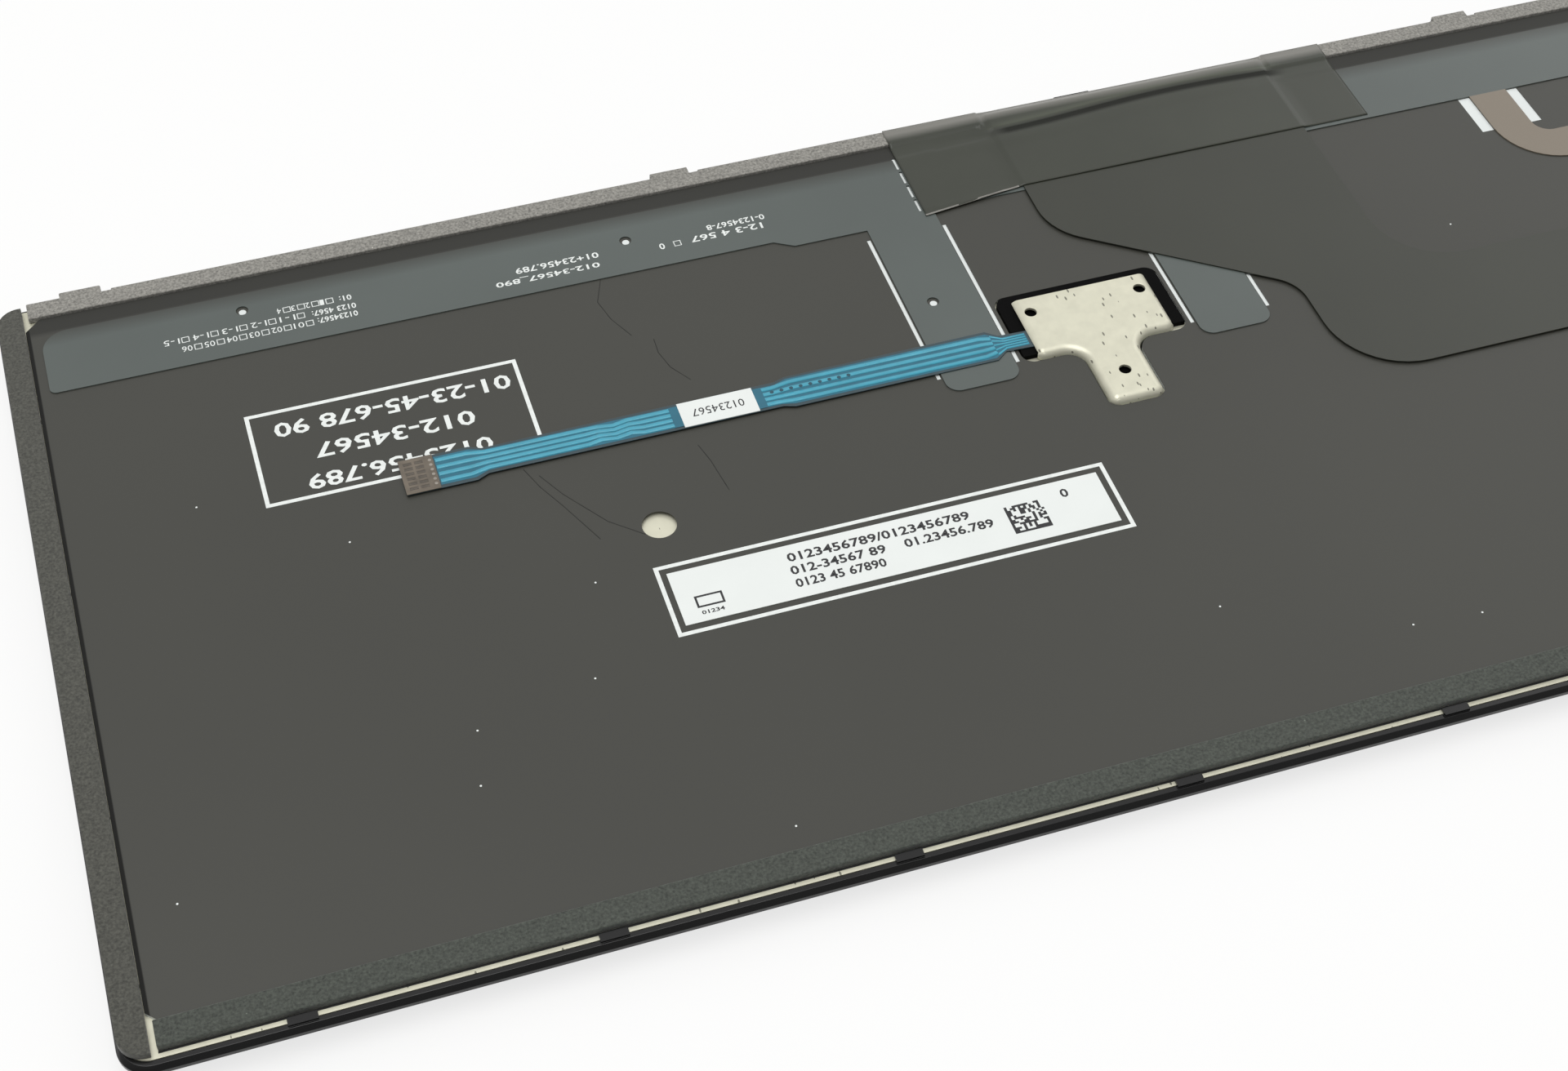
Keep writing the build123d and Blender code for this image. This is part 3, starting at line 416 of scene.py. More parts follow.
def mottled(tree, coords, base, patch, amount):
    """Colour that drifts lighter and darker by that share, in patches of that many millimetres."""
    noise = add(tree, "ShaderNodeTexNoise", {"Vector": coords, "Scale": scale_of(patch), "Detail": 4.0})
    contrast = {"Value": noise.outputs["Fac"], "From Min": 0.3, "From Max": 0.7}
    drift = add(tree, "ShaderNodeMapRange", contrast).outputs["Result"]
    between = {"Factor": drift, MIX_A: rgba(base, 1 - amount), MIX_B: rgba(base, 1 + amount)}
    return add(tree, "ShaderNodeMix", between, data_type="RGBA").outputs[MIX_OUT]


def roughen(tree, shader, coords, grain, depth, strength=1.0):
    """Bump of a grain that many millimetres wide and deep."""
    noise = add(tree, "ShaderNodeTexNoise", {"Vector": coords, "Scale": scale_of(grain), "Detail": 3.0})
    inputs = {"Height": noise.outputs["Fac"], "Distance": depth * MM, "Strength": strength}
    bump = add(tree, "ShaderNodeBump", inputs)
    tree.links.new(bump.outputs["Normal"], shader.inputs["Normal"])


def specks(tree, coords, cell, radius, share):
    """Mask of round specks of that radius in millimetres, in that share of the cells."""
    voronoi = add(tree, "ShaderNodeTexVoronoi", {"Vector": coords, "Scale": scale_of(cell)})
    within = {0: voronoi.outputs["Distance"], 1: radius / cell}
    near = add(tree, "ShaderNodeMath", within, operation="LESS_THAN")
    pick = add(tree, "ShaderNodeSeparateColor", {"Color": voronoi.outputs["Color"]})
    chosen = add(tree, "ShaderNodeMath", {0: pick.outputs["Red"], 1: share}, operation="LESS_THAN")
    inputs = {0: near.outputs["Value"], 1: chosen.outputs["Value"]}
    return add(tree, "ShaderNodeMath", inputs, operation="MULTIPLY").outputs["Value"]


def plain_finish(name, base, roughness, patch, amount, grain=None, **sockets):
    """Material of one mottled colour, with a bump if it has a grain: its width, depth and strength."""
    material, tree, shader, coords = start_material(name, base, roughness, **sockets)
    tree.links.new(mottled(tree, coords, base, patch, amount), shader.inputs["Base Color"])
    if grain:
        roughen(tree, shader, coords, *grain)
    return material


def moulded_abs():
    """Injection-moulded ABS with a high gloss: near black, with a faint orange peel."""
    return plain_finish("moulded gloss ABS", colours().bezel, 0.2, 9, 0.12, (0.9, 0.004, 0.3))


def textured_abs():
    """Spark-eroded ABS of the keycaps: a fine dull grain, drawn coarser than real so that it shows."""
    return plain_finish("spark-textured ABS", colours().keycap, 0.5, 5, 0.06, (0.22, 0.02, 0.5))


def acetal():
    """Natural acetal of the links: milky white and slightly waxy."""
    return plain_finish("natural acetal", colours().link, 0.35, 2, 0.03)


def silicone():
    """Moulded silicone rubber of the domes: pale and dull."""
    return plain_finish("silicone rubber", colours().rubber, 0.6, 2, 0.04)


def stick_rubber():
    """Soft rubber of the stick's cap: dull, with a pimpled grip drawn as grain."""
    return plain_finish("pimpled soft rubber", colours().stick, 0.8, 1.5, 0.15, (0.5, 0.06, 1.0))


def coated_polyester():
    """Polyester film with a dark printed coat: smooth and satin, faintly clouded."""
    return plain_finish("dark-coated polyester", colours().membrane, 0.38, 24, 0.07, (0.5, 0.006, 0.4))


def bare_sheet_metal():
    """Tin-plated steel sheet, pickled dull: warm and pale, with dark pinholes along the rolling direction."""
    base = colours().plate
    material, tree, shader, coords = start_material("tin-plated steel sheet", base, 0.42, Metallic=0.55)
    rolled = {"Vector": coords, "Rotation": (0, 0, 0.9), "Scale": (1, 0.35, 1)}
    stretched = add(tree, "ShaderNodeMapping", rolled).outputs["Vector"]
    clouds = mottled(tree, coords, base, 1.6, 0.05)
    pinholes = specks(tree, stretched, 0.62, 0.12, 0.45)
    pitted = {"Factor": pinholes, MIX_A: clouds, MIX_B: rgba(base, 0.32)}
    sheet = add(tree, "ShaderNodeMix", pitted, data_type="RGBA").outputs[MIX_OUT]
    tree.links.new(sheet, shader.inputs["Base Color"])
    roughen(tree, shader, coords, 0.35, 0.01, 0.5)
    return material


def clear_acrylic():
    """Clear acrylic sheet of the light guide: pale and glossy, drawn opaque because the films hide it."""
    return plain_finish("clear acrylic", colours().guide, 0.15, 6, 0.02)


def white_polyester():
    """White voided polyester of the reflector: bright and even."""
    return plain_finish("white voided polyester", colours().white_film, 0.45, 8, 0.02)


def black_polyester():
    """Black matt polyester of the back film: satin, faintly clouded, with painted shade at its front border
    and ends, beside the gaskets.
    """
    base, satin = colours().dark_film, 0.44
    material, tree, shader, coords = start_material("black matt polyester", base, satin)
    clouded = mottled(tree, coords, base, 70, 0.07)
    place_on = add(tree, "ShaderNodeSeparateXYZ", {"Vector": coords}).outputs
    front = add(tree, "ShaderNodeMapRange", {
        "Value": place_on["Y"], "To Max": 0.55,
        "From Min": (STRIP_FRONT - 0.4) * MM, "From Max": (STRIP_FRONT + 0.5) * MM,
    })
    across = add(tree, "ShaderNodeMath", {0: place_on["X"]}, operation="ABSOLUTE")
    ends = add(tree, "ShaderNodeMapRange", {
        "Value": across.outputs["Value"],
        "From Min": FILM_HIGH.x - 0.55 * MM, "From Max": FILM_HIGH.x - 0.4 * MM,
    })
    # Painted shade: the film darkens towards black along its front border and its ends, beside the gaskets,
    # and is made dull there
    either = {0: front.outputs["Result"], 1: ends.outputs["Result"]}
    border = add(tree, "ShaderNodeMath", either, operation="MAXIMUM").outputs["Value"]
    darkened = {"Factor": border, MIX_A: clouded, MIX_B: rgba(base, 0.15)}
    bordered = add(tree, "ShaderNodeMix", darkened, data_type="RGBA").outputs[MIX_OUT]
    dust = {"Factor": specks(tree, coords, 17, 0.07, 0.3), MIX_A: bordered, MIX_B: rgba(colours().paper, 0.5)}
    dusted = add(tree, "ShaderNodeMix", dust, data_type="RGBA").outputs[MIX_OUT]
    tree.links.new(dusted, shader.inputs["Base Color"])
    dulled = add(tree, "ShaderNodeMapRange", {"Value": border, "To Min": satin, "To Max": 0.95})
    tree.links.new(dulled.outputs["Result"], shader.inputs["Roughness"])
    roughen(tree, shader, coords, 0.3, 0.006, 0.5)
    return material


def flex_coverlay():
    """Polyimide strip under a grey satin coverlay, which has painted shade towards its front edge and is left
    off its tan tail.
    """
    material, tree, shader, coords = start_material("grey coverlay", colours().strip, 0.36)
    clouded = mottled(tree, coords, colours().strip, 30, 0.08)
    place_on = add(tree, "ShaderNodeSeparateXYZ", {"Vector": coords}).outputs
    rear_edge = {0: place_on["Y"], 1: STRIP_REAR * MM}
    behind = add(tree, "ShaderNodeMath", rear_edge, operation="LESS_THAN")
    left_edge = {0: place_on["X"], 1: LAMP_TAIL_LEFT * MM}
    right = add(tree, "ShaderNodeMath", left_edge, operation="GREATER_THAN")
    both = {0: behind.outputs["Value"], 1: right.outputs["Value"]}
    tail = add(tree, "ShaderNodeMath", both, operation="MULTIPLY")
    # Painted shade: the strip darkens towards the film's colour over its front edge
    front = add(tree, "ShaderNodeMapRange", {
        "Value": place_on["Y"], "To Max": 0.75,
        "From Min": (STRIP_FRONT - 2.4) * MM, "From Max": STRIP_FRONT * MM,
    })
    fade_out = {"Factor": front.outputs["Result"], MIX_A: clouded, MIX_B: rgba(colours().dark_film, 0.8)}
    faded = add(tree, "ShaderNodeMix", fade_out, data_type="RGBA").outputs[MIX_OUT]
    tan = {"Factor": tail.outputs["Value"], MIX_A: faded, MIX_B: rgba(colours().strip_tail)}
    bare = add(tree, "ShaderNodeMix", tan, data_type="RGBA").outputs[MIX_OUT]
    tree.links.new(bare, shader.inputs["Base Color"])
    roughen(tree, shader, coords, 0.45, 0.008, 0.5)
    return material


def cover_tape_film():
    """Acetate tape: smooth and satin, with a painted highlight along the fold, and a painted shadow at the
    foot of its wavy ridge and a painted highlight on its top.
    """
    satin, even = 0.33, rgba((0.5, 0.5, 0.5))
    material, tree, shader, coords = start_material("black acetate tape", colours().tape, satin)
    clouded = mottled(tree, coords, colours().tape, 12, 0.08)
    place_on = add(tree, "ShaderNodeSeparateXYZ", {"Vector": coords}).outputs
    # Painted highlight: the tape is mixed towards the pale cloth colour along the rounded fold
    rim = add(tree, "ShaderNodeMapRange", {
        "Value": place_on["Y"], "To Max": 0.8,
        "From Min": (FOLD_START - 1.0) * MM, "From Max": (FOLD_START + 0.3) * MM,
    })

    # Distance in front of the crest, which waves and leans as the ridge does
    turns = {0: place_on["X"], 1: scale_of(CREST_LENGTH)}
    angle = add(tree, "ShaderNodeMath", turns, operation="MULTIPLY")
    wave = add(tree, "ShaderNodeMath", {0: angle.outputs["Value"]}, operation="SINE")
    lift = {0: wave.outputs["Value"], 1: -CREST_WAVE * MM, 2: -(CREST - CREST_SLOPE * TAIL_LEFT) * MM}
    level = add(tree, "ShaderNodeMath", lift, operation="MULTIPLY_ADD")
    lean = {0: place_on["X"], 1: -CREST_SLOPE, 2: level.outputs["Value"]}
    line = add(tree, "ShaderNodeMath", lean, operation="MULTIPLY_ADD")
    from_line = {0: place_on["Y"], 1: line.outputs["Value"]}
    beyond = add(tree, "ShaderNodeMath", from_line, operation="ADD")

    # Painted shadow and highlight across the crest
    first, last = CREASE[0][0], CREASE[-1][0]
    span = {"Value": beyond.outputs["Value"], "From Min": first * MM, "From Max": last * MM}
    across = add(tree, "ShaderNodeMapRange", span)
    ramp = add(tree, "ShaderNodeValToRGB", {"Fac": across.outputs["Result"]})
    stops = ramp.color_ramp.elements
    for place_at, shade_at in CREASE[1:-1]:
        stops.new((place_at - first) / (last - first)).color = rgba((shade_at, shade_at, shade_at))
    stops[0].color = stops[-1].color = even

    # The painted shadow and highlight fade out beside the tail
    start = add(tree, "ShaderNodeMapRange", {
        "Value": place_on["X"], "From Min": (TAIL_LEFT - 1) * MM, "From Max": (TAIL_LEFT + 2) * MM,
    })
    end = add(tree, "ShaderNodeMapRange", {
        "Value": place_on["X"], "From Min": TAIL_RIGHT * MM, "From Max": (TAIL_RIGHT + 3) * MM,
        "To Min": 1.0, "To Max": 0.0,
    })
    both = {0: start.outputs["Result"], 1: end.outputs["Result"]}
    on_tail = add(tree, "ShaderNodeMath", both, operation="MULTIPLY")
    creases = {"Factor": on_tail.outputs["Value"], MIX_A: even, MIX_B: ramp.outputs["Color"]}
    crease = add(tree, "ShaderNodeMix", creases, data_type="RGBA").outputs[MIX_OUT]

    dull = {"Value": crease, "From Min": 0.15, "From Max": 0.5, "To Min": 0.9, "To Max": satin}
    dulled = add(tree, "ShaderNodeMapRange", dull)
    tree.links.new(dulled.outputs["Result"], shader.inputs["Roughness"])
    # The painted shade is doubled and multiplied into the tape's colour: darker at the ridge's foot, lighter
    # on its top
    doubled = {"Factor": 1.0, MIX_A: crease, MIX_B: (2.0, 2.0, 2.0, 1.0)}
    shade = add(tree, "ShaderNodeMix", doubled, data_type="RGBA", blend_type="MULTIPLY").outputs[MIX_OUT]
    pulled = {"Factor": 1.0, MIX_A: clouded, MIX_B: shade}
    tape = add(tree, "ShaderNodeMix", pulled, data_type="RGBA", blend_type="MULTIPLY").outputs[MIX_OUT]
    # The tape's colour with the painted highlight along the fold
    worn = {"Factor": rim.outputs["Result"], MIX_A: tape, MIX_B: rgba(colours().front_gasket)}
    rubbed = add(tree, "ShaderNodeMix", worn, data_type="RGBA").outputs[MIX_OUT]
    tree.links.new(rubbed, shader.inputs["Base Color"])
    roughen(tree, shader, coords, 0.6, 0.006, 0.4)
    return material


def stretched_acetate():
    """Pale acetate colour for the painted highlight along the lifted edge of the tape's left flap."""
    return plain_finish("stretched acetate", colours().front_gasket, 0.4, 1.5, 0.25)


def nonwoven(name, base):
    """Non-woven conductive cloth over foam: dull, with a fibre grain and pale flecks painted as glints of
    fibres that catch light, drawn coarser than real.
    """
    material, tree, shader, coords = start_material(name, base, 0.9, Sheen_Weight=0.25)
    tangle = {"Vector": coords, "Scale": scale_of(0.32), "Detail": 5.0, "Roughness": 0.7}
    fine = add(tree, "ShaderNodeTexNoise", tangle)
    sharper = {"Value": fine.outputs["Fac"], "From Min": 0.32, "From Max": 0.68}
    contrast = add(tree, "ShaderNodeMapRange", sharper)
    fibres = {"Factor": contrast.outputs["Result"], MIX_A: rgba(base, 0.5), MIX_B: rgba(base, 1.6)}
    mixed = add(tree, "ShaderNodeMix", fibres, data_type="RGBA").outputs[MIX_OUT]
    # Painted glints: pale specks where fibres catch light
    flecks = {"Factor": specks(tree, coords, 2.4, 0.09, 0.3), MIX_A: mixed, MIX_B: rgba(base, 2.8)}
    flecked = add(tree, "ShaderNodeMix", flecks, data_type="RGBA").outputs[MIX_OUT]
    tree.links.new(flecked, shader.inputs["Base Color"])
    roughen(tree, shader, coords, 0.28, 0.05)
    return material


def acrylic_adhesive():
    """Black strip beside a gasket, a painted shadow of its side: dull, slightly lumpy."""
    return plain_finish("black acrylic adhesive", colours().adhesive, 0.6, 1.0, 0.3, (0.5, 0.03, 1.0))


def solder_mask():
    """Black solder mask of the stick's board: dull, with hardly a reflection in its recess."""
    return plain_finish("black solder mask", colours().board, 0.8, 3, 0.1, Specular_IOR_Level=0.1)


def blue_polyimide(name, base):
    """Blue coverlay of the ribbon: glossy, and lighter over its copper."""
    return plain_finish(name, base, 0.28, 2.5, 0.08, (0.4, 0.006, 0.5), Coat_Weight=0.3)


def stiffener_board(name="brown polyimide", shade=1.0):
    """Brown polyimide stiffener, slightly clouded, and darker where copper lies behind it."""
    return plain_finish(name, shaded(colours().stiffener, shade), 0.45, 1.4, 0.22)


def tinned_copper():
    """Tinned copper of the contacts: dull silver."""
    return plain_finish("tinned copper", colours().tin, 0.32, 0.8, 0.12, Metallic=0.9)


def scuff_mark():
    """Rubbed coat of the film along a hairline: darker and dull."""
    return plain_finish("rubbed coat", shaded(colours().dark_film, SCUFF_SHADE), 0.7, 1.2, 0.4)


def label_stock():
    """Coated white label stock: bright, even and half dull."""
    return plain_finish("coated label stock", colours().paper, 0.5, 6, 0.015)


def printing_ink(name, base):
    """Screen-printed ink: dull, thinner in places."""
    return plain_finish(name, base, 0.65, 0.5, 0.06)


def lamp_package():
    """Phosphor of the lamp packages: pale yellow and half dull."""
    return plain_finish("lamp phosphor", colours().lamp, 0.4, 0.6, 0.05)


# Pieces

def dress(name, material, round_by=0.0, segments=3):
    """Give a CAD node its material, and round its edges by that many metres."""
    piece = NODES[name]
    piece.data.materials.clear()
    piece.data.materials.append(material)
    if round_by:
        weld = piece.modifiers.new("Weld", "WELD")
        weld.merge_threshold = MERGE
        bevel = piece.modifiers.new("Round", "BEVEL")
        bevel.width = round_by
        bevel.segments = segments
        bevel.limit_method = "ANGLE"
        bevel.angle_limit = ROUNDED_ANGLE
        bevel.use_clamp_overlap = True


def place(name, mesh, material, slot, body=ROOT, replaces=()):
    """Make an object of a finished mesh with its material, attach it to its body, and hide the CAD nodes that
    it replaces.
    """
    piece = bpy.data.objects.new(name, mesh)
    bpy.context.scene.collection.objects.link(piece)
    if material:
        mesh.materials.clear()
        mesh.materials.append(material)
    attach(piece, body)
    if replaces:
        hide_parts(*replaces)
    return piece


def finish_mesh(name, work):
    """Plain mesh of a bmesh, with its normals pointing outwards."""
    bmesh.ops.recalc_face_normals(work, faces=work.faces)
    mesh = bpy.data.meshes.new(name)
    work.to_mesh(mesh)
    work.free()
    return mesh


def mesh_of(piece):
    """Plain mesh of an object's evaluated shape. The object is removed."""
    graph = bpy.context.evaluated_depsgraph_get()
    mesh = bpy.data.meshes.new_from_object(piece.evaluated_get(graph), depsgraph=graph)
    bpy.data.objects.remove(piece)
    return mesh


def on_film(x, y):
    """Place in plan of a point measured in millimetres from the film's front left corner."""
    return FILM_LOW.x + x * MM, FILM_HIGH.y - y * MM


def from_stick(x, y):
    """Place in plan of a point measured in millimetres from the stick."""
    return STICK.x + x * MM, STICK.y + y * MM


def extent(corners):
    """Lowest and highest corner of the box around some points."""
    low = Vector(min(corner[axis] for corner in corners) for axis in range(3))
    high = Vector(max(corner[axis] for corner in corners) for axis in range(3))
    return low, high


def covers(box, other):
    """Whether a box covers the middle of another box in plan."""
    middle = (other[0] + other[1]) / 2
    return box[0].x < middle.x < box[1].x and box[0].y < middle.y < box[1].y


def solid_boxes(node):
    """Lowest and highest corners of each separate solid in a CAD node."""
    work = bmesh.new()
    work.from_mesh(NODES[node].data)
    bmesh.ops.remove_doubles(work, verts=work.verts, dist=MERGE)
    work.verts.index_update()
    seen, boxes = set(), []
    for start in work.verts:
        if start.index in seen:
            continue
        seen.add(start.index)
        ahead, corners = [start], []
        while ahead:
            vert = ahead.pop()
            corners.append(vert.co)
            fresh = [edge.other_vert(vert) for edge in vert.link_edges]
            fresh = [other for other in fresh if other.index not in seen]
            seen.update(other.index for other in fresh)
            ahead += fresh
        boxes.append(extent(corners))
    work.free()
    return boxes


def block(work, low, high):
    """Closed box between two corners."""
    corners = [
        work.verts.new((x, y, z))
        for z in (low[2], high[2]) for y in (low[1], high[1]) for x in (low[0], high[0])
    ]
    for face in ((0, 2, 3, 1), (4, 5, 7, 6), (0, 1, 5, 4), (2, 6, 7, 3), (0, 4, 6, 2), (1, 3, 7, 5)):
        work.faces.new([corners[corner] for corner in face])


def prism(work, outline, bottom, top):
    """Closed prism over an outline in plan, between two levels."""
    lower = [work.verts.new((x, y, bottom)) for x, y in outline]
    upper = [work.verts.new((x, y, top)) for x, y in outline]
    work.faces.new(lower)
    work.faces.new(upper)
    for corner in range(len(outline)):
        work.faces.new((lower[corner - 1], lower[corner], upper[corner], upper[corner - 1]))


def printed_frame(work, edges, line, level):
    """Frame of that line width outside its left, front, right and rear edge, in millimetres on the film."""
    left, front = on_film(*edges[:2])
    right, rear = on_film(*edges[2:])
    loops = []
    for z in (level, level + sizes().ink):
        for out in (0.0, line):
            corners = (
                (left - out, rear - out), (right + out, rear - out),
                (right + out, front + out), (left - out, front + out),
            )
            loops.append([work.verts.new((x, y, z)) for x, y in corners])
    low_in, low_out, high_in, high_out = loops
    for first, second in ((low_in, low_out), (low_out, high_out), (high_out, high_in), (high_in, low_in)):
        for corner in range(4):
            after = (corner + 1) % 4
            work.faces.new((first[corner], first[after], second[after], second[corner]))


def numerals(work, text, height, width, middle, level, turned=True, bold=0.0):
    """Numerals of that size in millimetres, centred on a place. Turned ones read from the front edge."""
    curve = bpy.data.curves.new("numerals", "FONT")
    curve.body = text
    curve.extrude = 0.5
    curve.offset = bold
    curve.resolution_u = 2
    piece = bpy.data.objects.new("numerals", curve)
    bpy.context.scene.collection.objects.link(piece)
    mesh = mesh_of(piece)
    low, high = extent([vertex.co.copy() for vertex in mesh.vertices])
    wanted = (width * MM, height * MM, sizes().ink)
    fit = Matrix.Diagonal((*[size / (high - low)[axis] for axis, size in enumerate(wanted)], 1.0))
    turn = Matrix.Rotation(math.pi if turned else 0.0, 4, "Z")
    to_place = Matrix.Translation((*middle, level + sizes().ink / 2))
    mesh.transform(to_place @ turn @ fit @ Matrix.Translation(-(low + high) / 2))
    work.from_mesh(mesh)
    bpy.data.meshes.remove(mesh)
    bpy.data.curves.remove(curve)


def print_lines(work, lines, level, bold, turned=True):
    """Lines of numerals on the film, the strip or the sticker."""
    for text, height, width, x, y in lines:
        numerals(work, text, height, width, on_film(x, y), level, turned, bold)


def points_mesh(points):
    """Start mesh of loose points."""
    mesh = bpy.data.meshes.new("points")
    mesh.from_pydata(points, [], [])
    return mesh


def lines_mesh(lines):
    """Start mesh of open lines, each a list of points."""
    points, edges = [], []
    for line in lines:
        first = len(points)
        points += line
        edges += [(first + step, first + step + 1) for step in range(len(line) - 1)]
    mesh = bpy.data.meshes.new("lines")
    mesh.from_pydata(points, edges, [])
    return mesh


def start_tree(name, start, *lengths):
    """Geometry Nodes tree that takes a start mesh, lengths and a material, and the sockets that give them."""
    tree = bpy.data.node_groups.new(name, "GeometryNodeTree")
    tree.interface.new_socket(start, in_out="INPUT", socket_type="NodeSocketGeometry")
    for label in lengths:
        tree.interface.new_socket(label, in_out="INPUT", socket_type="NodeSocketFloat")
    tree.interface.new_socket("Material", in_out="INPUT", socket_type="NodeSocketMaterial")
    tree.interface.new_socket("Geometry", in_out="OUTPUT", socket_type="NodeSocketGeometry")
    return tree, add(tree, "NodeGroupInput").outputs


def end_tree(tree, shape, material):
    """Make instances real, give them their material and end the tree."""
    real = add(tree, "GeometryNodeRealizeInstances", {"Geometry": shape}).outputs["Geometry"]
    painted = add(tree, "GeometryNodeSetMaterial", {"Geometry": real, "Material": material})
    add(tree, "NodeGroupOutput", {"Geometry": painted.outputs["Geometry"]})
    return tree


def trace_tree():
    """Tree that lays a flat band along each line of the start mesh."""
    tree, given = start_tree("traces", "Lines", "Width", "Height")
    lines = add(tree, "GeometryNodeMeshToCurve", {"Mesh": given["Lines"]})
    level = add(tree, "GeometryNodeSetCurveNormal", {"Curve": lines.outputs["Curve"]}, mode="Z_UP")
    band = {"Width": given["Width"], "Height": given["Height"]}
    section = add(tree, "GeometryNodeCurvePrimitiveQuadrilateral", band).outputs["Curve"]
    swept = {"Curve": level.outputs["Curve"], "Profile Curve": section, "Fill Caps": True}
    bands = add(tree, "GeometryNodeCurveToMesh", swept)
    return end_tree(tree, bands.outputs["Mesh"], given["Material"])


def dot_tree():
    """Tree that sets a flat round dot on each point of the start mesh."""
    tree, given = start_tree("dots", "Places", "Radius", "Height")
    disc = {"Vertices": 20, "Radius": given["Radius"], "Depth": given["Height"]}
    dot = add(tree, "GeometryNodeMeshCylinder", disc).outputs["Mesh"]
    dots = add(tree, "GeometryNodeInstanceOnPoints", {"Points": given["Places"], "Instance": dot})
    return end_tree(tree, dots.outputs["Instances"], given["Material"])


def box_mark_tree():
    """Tree that sets a small square outline on each point of the start mesh."""
    tree, given = start_tree("box marks", "Places", "Side", "Line", "Height")
    square = {"Width": given["Side"], "Height": given["Side"]}
    outline = add(tree, "GeometryNodeCurvePrimitiveQuadrilateral", square).outputs["Curve"]
    band = {"Width": given["Line"], "Height": given["Height"]}
    section = add(tree, "GeometryNodeCurvePrimitiveQuadrilateral", band).outputs["Curve"]
    mark = add(tree, "GeometryNodeCurveToMesh", {"Curve": outline, "Profile Curve": section}).outputs["Mesh"]
    marks = add(tree, "GeometryNodeInstanceOnPoints", {"Points": given["Places"], "Instance": mark})
    return end_tree(tree, marks.outputs["Instances"], given["Material"])


def lay(name, slot, tree, start, **values):
    """Make the piece that a tree gives from a start mesh, with the tree's inputs set by name."""
    seed = bpy.data.objects.new("start", start)
    bpy.context.scene.collection.objects.link(seed)
    modifier = seed.modifiers.new("Nodes", "NODES")
    modifier.node_group = tree
    for item in tree.interface.items_tree:
        if item.in_out == "INPUT" and item.name in values:
            modifier[item.identifier] = values[item.name]
    place(name, mesh_of(seed), None, slot)


def fade(distance, over):
    """Share from 0 to 1 that grows with a distance, over that length."""
    return np.clip(distance / over, 0, 1)


class KEYBOARD_OT_moulding(bpy.types.Operator):
    """Finish the moulded frame around the keys"""

    bl_idname = "keyboard.moulding"
    bl_label = "Moulded frame"

    def execute(self, context):
        dress("bezel", moulded_abs(), sizes().moulding_round)
        return {"FINISHED"}


class KEYBOARD_OT_keycaps(bpy.types.Operator):
    """Finish the keycaps"""

    bl_idname = "keyboard.keycaps"
    bl_label = "Keycaps"

    def execute(self, context):
        plastic = textured_abs()
        for name in NODES:
            if name.startswith("key_") or name == "other_keycaps":
                dress(name, plastic, sizes().cap_round)
        return {"FINISHED"}


class KEYBOARD_OT_switches(bpy.types.Operator):
    """Make the domes round, and part them and the crossed links into a piece under each key"""

    bl_idname = "keyboard.switches"
    bl_label = "Switches"

    def execute(self, context):
        keys = {name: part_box(name) for name in NODES if name.startswith("key_")}
        rubber, plastic = silicone(), acetal()
        domes = solid_boxes("rubber_domes")
        still = [dome for dome in domes if not any(covers(key, dome) for key in keys.values())]
        place("fixed_domes", self.turn_domes(still), rubber, "rubber", replaces=("rubber_domes",))
        nodes = ("outer_links", "inner_links")
        for key, box in keys.items():
            name = key.removeprefix("key_")
            pressed = self.turn_domes([dome for dome in domes if covers(box, dome)])
            dome = place(f"dome_{name}", pressed, rubber, "rubber", replaces=("rubber_domes",))
            links = place(f"links_{name}", self.cut_links(nodes, box), plastic, "link", replaces=nodes)
            for piece in (dome, links):
                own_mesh(piece)
        return {"FINISHED"}

    def turn_domes(self, boxes):
        """Mesh of turned domes in these boxes, each a closed ring of profile points."""
        turns = [2 * math.pi * step / DOME_STEPS for step in range(DOME_STEPS)]
        work = bmesh.new()
        for low, high in boxes:
            middle = (low + high) / 2
            radius, height = (high.x - low.x) / 2, high.z - low.z
            rings = []
            for across, down in DOME_PROFILE:
                reach, z = radius * across, low.z + height * down
                rings.append([
                    work.verts.new((middle.x + reach * math.cos(turn), middle.y + reach * math.sin(turn), z))
                    for turn in turns
                ])
            work.faces.new(rings[0])
            work.faces.new(rings[-1])
            for first, second in zip(rings, rings[1:]):
                for step in range(DOME_STEPS):
                    work.faces.new((first[step - 1], first[step], second[step], second[step - 1]))
        mesh = finish_mesh("domes", work)
        mesh.set_sharp_from_angle(angle=SHARP_ANGLE)
        return mesh

    def cut_links(self, nodes, box):
        """Merged copy of the links that lie under one key."""
        work = bmesh.new()
        for node in nodes:
            work.from_mesh(NODES[node].data)
        away = [face for face in work.faces if not covers(box, (face.calc_center_median(),) * 2)]
        bmesh.ops.delete(work, geom=away, context="FACES")
        bmesh.ops.remove_doubles(work, verts=work.verts, dist=MERGE)
        return finish_mesh("links", work)


class KEYBOARD_OT_sheets(bpy.types.Operator):
    """Finish the membrane, the plate and the films on it"""

    bl_idname = "keyboard.sheets"
    bl_label = "Sheets"

    def execute(self, context):
        dress("switch_membrane", coated_polyester(), sizes().sheet_round)
        dress("base_plate", bare_sheet_metal())
        dress("light_guide", clear_acrylic())
        dress("reflector_sheet", white_polyester())
        dress("back_film", black_polyester())
        return {"FINISHED"}


class KEYBOARD_OT_lamp_strip(bpy.types.Operator):
    """Finish the lamp strip and its lamps"""

    bl_idname = "keyboard.lamp_strip"
    bl_label = "Lamp strip"

    def execute(self, context):
        dress("led_flex", flex_coverlay(), sizes().sheet_round)
        dress("leds", lamp_package())
        return {"FINISHED"}


